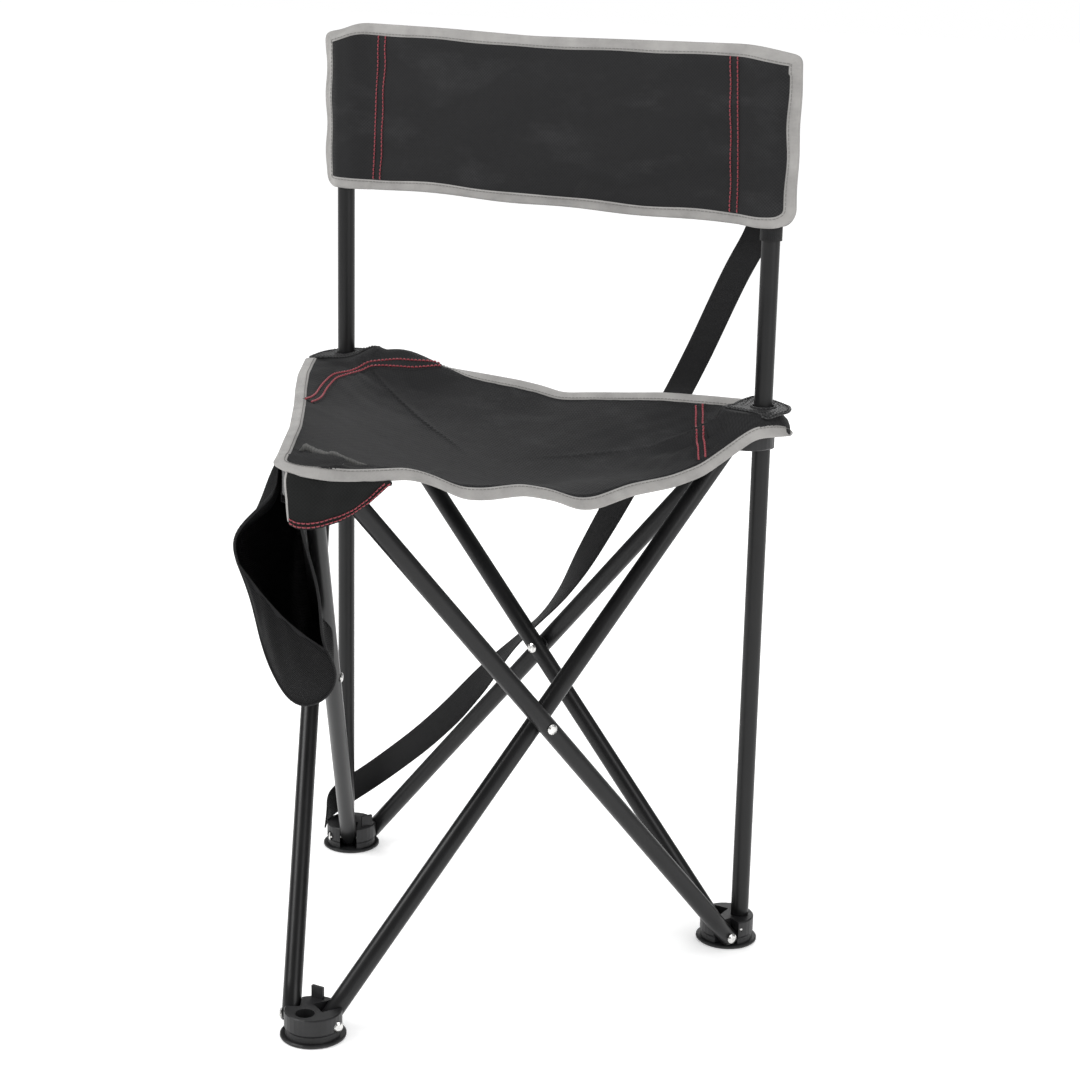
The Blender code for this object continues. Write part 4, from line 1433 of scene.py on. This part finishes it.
# ---------------- carry strap ----------------
# from the right upright, across the back, to the foot of the left one: x, y, z, twist in
# degrees
STRAP = np.array([
    [0.2008, 0.2100, 0.6640, 0], [0.2000, 0.2105, 0.6570, 0], [0.1955, 0.2130, 0.6430, 0],
    [0.1770, 0.2142, 0.6120, 0], [0.1615, 0.2142, 0.5780, 0], [0.1435, 0.2142, 0.5370, 0],
    [0.1225, 0.2142, 0.4940, 0], [0.0930, 0.2150, 0.4400, -4], [0.0630, 0.2150, 0.3840, -6],
    [0.0300, 0.2165, 0.3250, -22], [0.0060, 0.2190, 0.2860, -52],
    [-0.0190, 0.2200, 0.2560, -72], [-0.0470, 0.2190, 0.2270, -62],
    [-0.0800, 0.2185, 0.1870, -24], [-0.1120, 0.2160, 0.1480, -6],
    [-0.1470, 0.2160, 0.1130, 0], [-0.1850, 0.2160, 0.0800, 0], [-0.2140, 0.2150, 0.0560, 0],
    [-0.2310, 0.2085, 0.0430, 0], [-0.2395, 0.1960, 0.0350, 0], [-0.2385, 0.1800, 0.0300, 0],
    [-0.2290, 0.1680, 0.0275, 0]])
STRAP_HALF_WIDTH, STRAP_HALF_THICK = 0.0125, 0.00075
STRAP_STEPS = 170


def strap():
    run = run_length(STRAP[:, :3])
    at = np.linspace(0, run[-1], STRAP_STEPS)
    path = smoothed(sample(STRAP[:, :3], run, at), 14)
    twist = smoothed(np.interp(at, run, np.radians(STRAP[:, 3])), 14)[:, None]
    along = tangents(path)
    # the strap faces the rear, then turns to wrap the left upright
    late = ease((at - run[-6]) / (run[-1] - run[-6]))[:, None]
    away = unit_rows((path - POST_LEFT) * FLAT)
    facing = unit_rows(np.array([0.0, 1.0, 0.0]) * (1 - late) + away * late)
    facing = unit_rows(facing - (facing * along).sum(1)[:, None] * along)
    wide = np.cross(along, facing) * np.cos(twist) + facing * np.sin(twist)
    half, thick = STRAP_HALF_WIDTH, STRAP_HALF_THICK
    section = [(-half, -thick * 0.5), (-half, thick * 0.5)]
    section += [(half * (-0.94 + 1.88 * k / 10), thick) for k in range(11)]
    section += [(half, thick * 0.5), (half, -thick * 0.5)]
    section += [(half * (0.94 - 1.88 * k / 10), -thick) for k in range(11)]
    add_part("strap", sweep(path, wide, np.cross(wide, along), section), "webbing",
             between_posts(front_share=0.25), replaces="carry_strap")


def strap_loop():
    """The loop round the right upright, drawn together where it is sewn."""
    sewn = np.array([0.1990, 0.2098, 0.6524])
    radius, half, thick = 0.0090, 0.011, 0.0006
    offset = sewn - POST_RIGHT
    toward = math.atan2(offset[1], offset[0])
    opening = math.acos(radius / math.hypot(offset[0], offset[1]))
    turns = np.linspace(toward + opening, toward - opening + 2 * math.pi, 60)
    normals = np.column_stack([np.cos(turns), np.sin(turns), np.zeros(60)])
    path = POST_RIGHT + normals * radius + UP * sewn[2]
    joins = np.array([[0.0], [0.33], [0.67]])
    path = np.concatenate([sewn + (path[:1] - sewn) * joins, path,
                           sewn + (path[-1:] - sewn) * joins[::-1]])
    normals = np.concatenate([repeated(normals[0], 3), normals, repeated(normals[-1], 3)])
    section = [(-half, -thick), (-half, thick), (half, thick), (half, -thick)]
    add_part("strap_loop_right", sweep(path, repeated(UP, len(path)), normals, section),
             "webbing", "rear_right")


strap()
strap_loop()

# ---------------- net pocket under the left side ----------------
# The bag's outline at its mouth as (distance out from the side, height): down the outer
# wall, round the bottom, up the inner wall.
MOUTH = [
    (0.0312, 0.4800), (0.0322, 0.4690), (0.0331, 0.4575), (0.0420, 0.4470), (0.0520, 0.4358),
    (0.0595, 0.4270), (0.0640, 0.4200), (0.0653, 0.4141), (0.0636, 0.4017), (0.0566, 0.3793),
    (0.0442, 0.3375), (0.0355, 0.3105), (0.0270, 0.2896), (0.0211, 0.2809), (0.0146, 0.2767),
    (0.0065, 0.2769), (-0.0016, 0.2810), (-0.0098, 0.2867), (-0.0153, 0.2931),
    (-0.0184, 0.3031), (-0.0179, 0.3127), (-0.0132, 0.3200), (-0.0091, 0.3256),
    (-0.0055, 0.3385), (-0.0004, 0.3771), (0.0077, 0.4214), (0.0115, 0.4420),
    (0.0200, 0.4640), (0.0290, 0.4790)]
HEM_OUTER, HEM_INNER = (0.0622, 0.3970), (-0.0091, 0.3256)  # ends of the hem
MOUTH_POINTS = 84
BAG_FRONT, BAG_BACK, BAG_STATIONS = 0.035, 0.200, 40    # back from the front corner
PANEL_ROWS = 14
mouth = smoothed(spread(MOUTH, MOUTH_POINTS), 3)


def bag_section(s):
    """The outline s back from the front corner, drawn up to the seat's edge behind."""
    out, z = mouth.T.copy()
    shift = min(s, 0.095) - BAG_FRONT
    size = 1 - 0.85 * float(ease((s - 0.090) / (BAG_BACK - 0.090)))
    hang = np.clip((0.470 - z) / 0.024, 0, 1)
    out += np.clip((0.440 - z) / 0.030, 0, 1) * shift * 0.11
    z -= hang * shift * 0.235
    out = 0.0315 + (out - 0.0315) * size
    z = 0.4790 + (z - 0.4790) * size - 0.004 * math.sin(math.pi * min(s / 0.2, 1))
    out += 0.0015 * np.sin(38 * s + 60 * z) * hang
    # stay clear of the crossing leg on the inside
    leg_z = LEG_TOP_Z - (s - PIVOT_INSET) * (LEG_TOP_Z - FOOT_Z) / (SIDE - 2 * PIVOT_INSET)
    near_leg = ease((z - (leg_z - 0.034)) / 0.018)
    out = np.where(out < 0.0120, out * (1 - near_leg) + 0.0120 * near_leg, out)
    return np.column_stack([np.where(z > 0.4470, np.maximum(out, 0.0285), out), z])


def bag_station(s):
    """The outline's points, its top carried along with the seat's left edge."""
    lift = soft(s, LEFT_Z) - soft(BAG_FRONT, LEFT_Z)
    off = soft(s, LEFT_OFF) - 0.031
    return [FRONT - LEFT_ALONG * s + LEFT_OUT * (out + off * float(ease((z - 0.42) / 0.05)))
            + UP * (z + lift * float(ease((z - 0.40) / 0.07))) for out, z in bag_section(s)]


def bag_panel(lower):
    """The front panel, from the outline's lower part up to the slanting hem."""
    start, end, count = lower[0], lower[-1], len(lower)
    verts, uvs = [], []
    for row in range(PANEL_ROWS):
        up = row / (PANEL_ROWS - 1)
        for j in range(count):
            across = j / (count - 1)
            arch = math.sin(math.pi * across)
            hem = start * (1 - across) + end * across + np.array([0, 0, -0.006 * arch])
            bulge = math.sin(math.pi * (up * 0.8)) * arch
            ripple = 0.0012 * math.sin(25 * across + 7 * up) * bulge
            point = lower[j] * (1 - up) + hem * up + LEFT_ALONG * (0.011 * bulge + ripple)
            verts.append(point)
            uvs.append(((point - FRONT) @ LEFT_OUT, point[2]))
    return np.array(verts), grid_faces(PANEL_ROWS, count), np.array(uvs)


def bag_hem(path):
    """A tape along the hem, hanging down from it and tapering to its ends."""
    path = smoothed(resample(path, 0.004), 3)
    normals = repeated(LEFT_ALONG, len(path))
    sides = np.cross(normals, tangents(path))
    sides *= np.sign((sides * -UP).sum(1) + 1e-9)[:, None]
    run = np.arange(len(path)) / (len(path) - 1)
    narrow, full = 0.0006, 0.0060
    widths = narrow + (full - narrow) * ease((run - 0.03) / 0.35) * ease((1 - run) / 0.12)
    sections = [tape_section(width, half=0.0010) for width in widths]
    add_part("net_bag_hem", sweep(path, sides, normals, sections), "webbing",
             pocket_weights)


def bag_cord(name, path):
    path = smoothed(resample(path, 0.004), 3)
    normals = repeated(LEFT_ALONG, len(path))
    cord = sweep(path, np.cross(tangents(path), normals), normals,
                 ellipse(0.0012, 0.0014, 8))
    add_part(name, cord, "webbing", pocket_weights)


def nearest_mouth(point):
    return int(np.argmin(np.hypot(mouth[:, 0] - point[0], mouth[:, 1] - point[1])))


def net_pocket():
    stations = np.linspace(BAG_FRONT, BAG_BACK, BAG_STATIONS)
    grid = np.array([bag_station(s) for s in stations])
    around = run_length(mouth)
    uvs = np.array([(s, distance) for s in stations for distance in around])
    count = MOUTH_POINTS
    walls = (grid.reshape(-1, 3), grid_faces(BAG_STATIONS, count), uvs)
    last_uvs = uvs[-count:]
    back = (np.vstack([grid[-1], grid[-1].mean(0)]),
            [(j, j + 1, count) for j in range(count - 1)],
            np.vstack([last_uvs, last_uvs.mean(0)]))
    front = grid[0]
    outer, inner = nearest_mouth(HEM_OUTER), nearest_mouth(HEM_INNER)
    lower = front[outer:inner + 1]
    panel = bag_panel(lower)
    add_part("net_bag", merge([walls, back, panel]), "net", pocket_weights,
             replaces="mesh_pocket", thickness=0.0006)
    bag_hem(panel[0][-len(lower):])
    bag_cord("net_bag_rim", lower)
    bag_cord("net_bag_mouth_outer", front[4:outer + 1])
    bag_cord("net_bag_mouth_inner", front[inner:count - 8])


net_pocket()

# ---------------- floor, world and lights ----------------
bpy.ops.mesh.primitive_plane_add(size=40, location=(0, 0, -0.0002))
floor = bpy.context.object
floor.name = "floor"
floor.data.materials.append(MATERIALS["floor"])

LIT_STRENGTH, REFLECTED_STRENGTH = 0.86, 0.22    # of the world; the camera sees it at 1


def studio_world():
    """A white world, dimmer where it lights things and dimmer still in reflections."""
    world = bpy.data.worlds.new("studio")
    bpy.context.scene.world = world
    world.use_nodes = True
    nodes, links = world.node_tree.nodes, world.node_tree.links
    background = nodes["Background"]
    background.inputs[0].default_value = (1, 1, 1, 1)
    rays = nodes.new("ShaderNodeLightPath")
    dimmed = nodes.new("ShaderNodeMapRange")
    dimmed.inputs["To Min"].default_value = LIT_STRENGTH
    dimmed.inputs["To Max"].default_value = REFLECTED_STRENGTH
    links.new(rays.outputs["Is Glossy Ray"], dimmed.inputs["Value"])
    strength = nodes.new("ShaderNodeMath")
    strength.operation = "MAXIMUM"
    links.new(dimmed.outputs[0], strength.inputs[0])
    links.new(rays.outputs["Is Camera Ray"], strength.inputs[1])
    links.new(strength.outputs[0], background.inputs[1])


def area_light(name, location, target, size, power):
    data = bpy.data.lights.new(name, "AREA")
    data.energy = power
    data.shape = "RECTANGLE"
    data.size, data.size_y = size
    ob = bpy.data.objects.new(name, data)
    bpy.context.scene.collection.objects.link(ob)
    ob.location = location
    ob.rotation_mode = "QUATERNION"
    ob.rotation_quaternion = (Vector(target) - Vector(location)).to_track_quat("-Z", "Y")


studio_world()
bpy.context.scene.view_settings.view_transform = "Standard"
area_light("key", location=(-1.5, -1.5, 2.2), target=(0, 0, 0.4), size=(1.2, 1.2), power=40)
area_light("fill", location=(2.4, -0.6, 1.5), target=(0, 0, 0.4), size=(1.2, 1.8), power=22)
area_light("rim", location=(-0.6, 2.4, 1.9), target=(0, 0, 0.5), size=(1.6, 1.0), power=20)


# ---------------- camera ----------------
def add_camera(location, yaw, pitch, roll, lens, shift):
    """yaw turns from +Y toward +X, pitch looks down; both and roll are in radians."""
    view = np.array([math.sin(yaw) * math.cos(pitch), math.cos(yaw) * math.cos(pitch),
                     -math.sin(pitch)])
    level = unit(np.cross(view, UP))
    upward = np.cross(level, view)
    right = level * math.cos(roll) + upward * math.sin(roll)
    top = -level * math.sin(roll) + upward * math.cos(roll)
    data = bpy.data.cameras.new("camera")
    camera = bpy.data.objects.new("camera", data)
    bpy.context.scene.collection.objects.link(camera)
    rows = [(right[i], top[i], -view[i], location[i]) for i in range(3)]
    camera.matrix_world = Matrix((*rows, (0, 0, 0, 1)))
    data.sensor_width = 36.0
    data.lens = lens
    data.shift_x, data.shift_y = shift
    data.clip_start, data.clip_end = 0.05, 60
    bpy.context.scene.camera = camera


add_camera(location=(1.0131, -1.6042, 0.8887), yaw=-0.515941, pitch=0.258239, roll=0.021737,
           lens=76.523, shift=(0.0020, 0.0004))
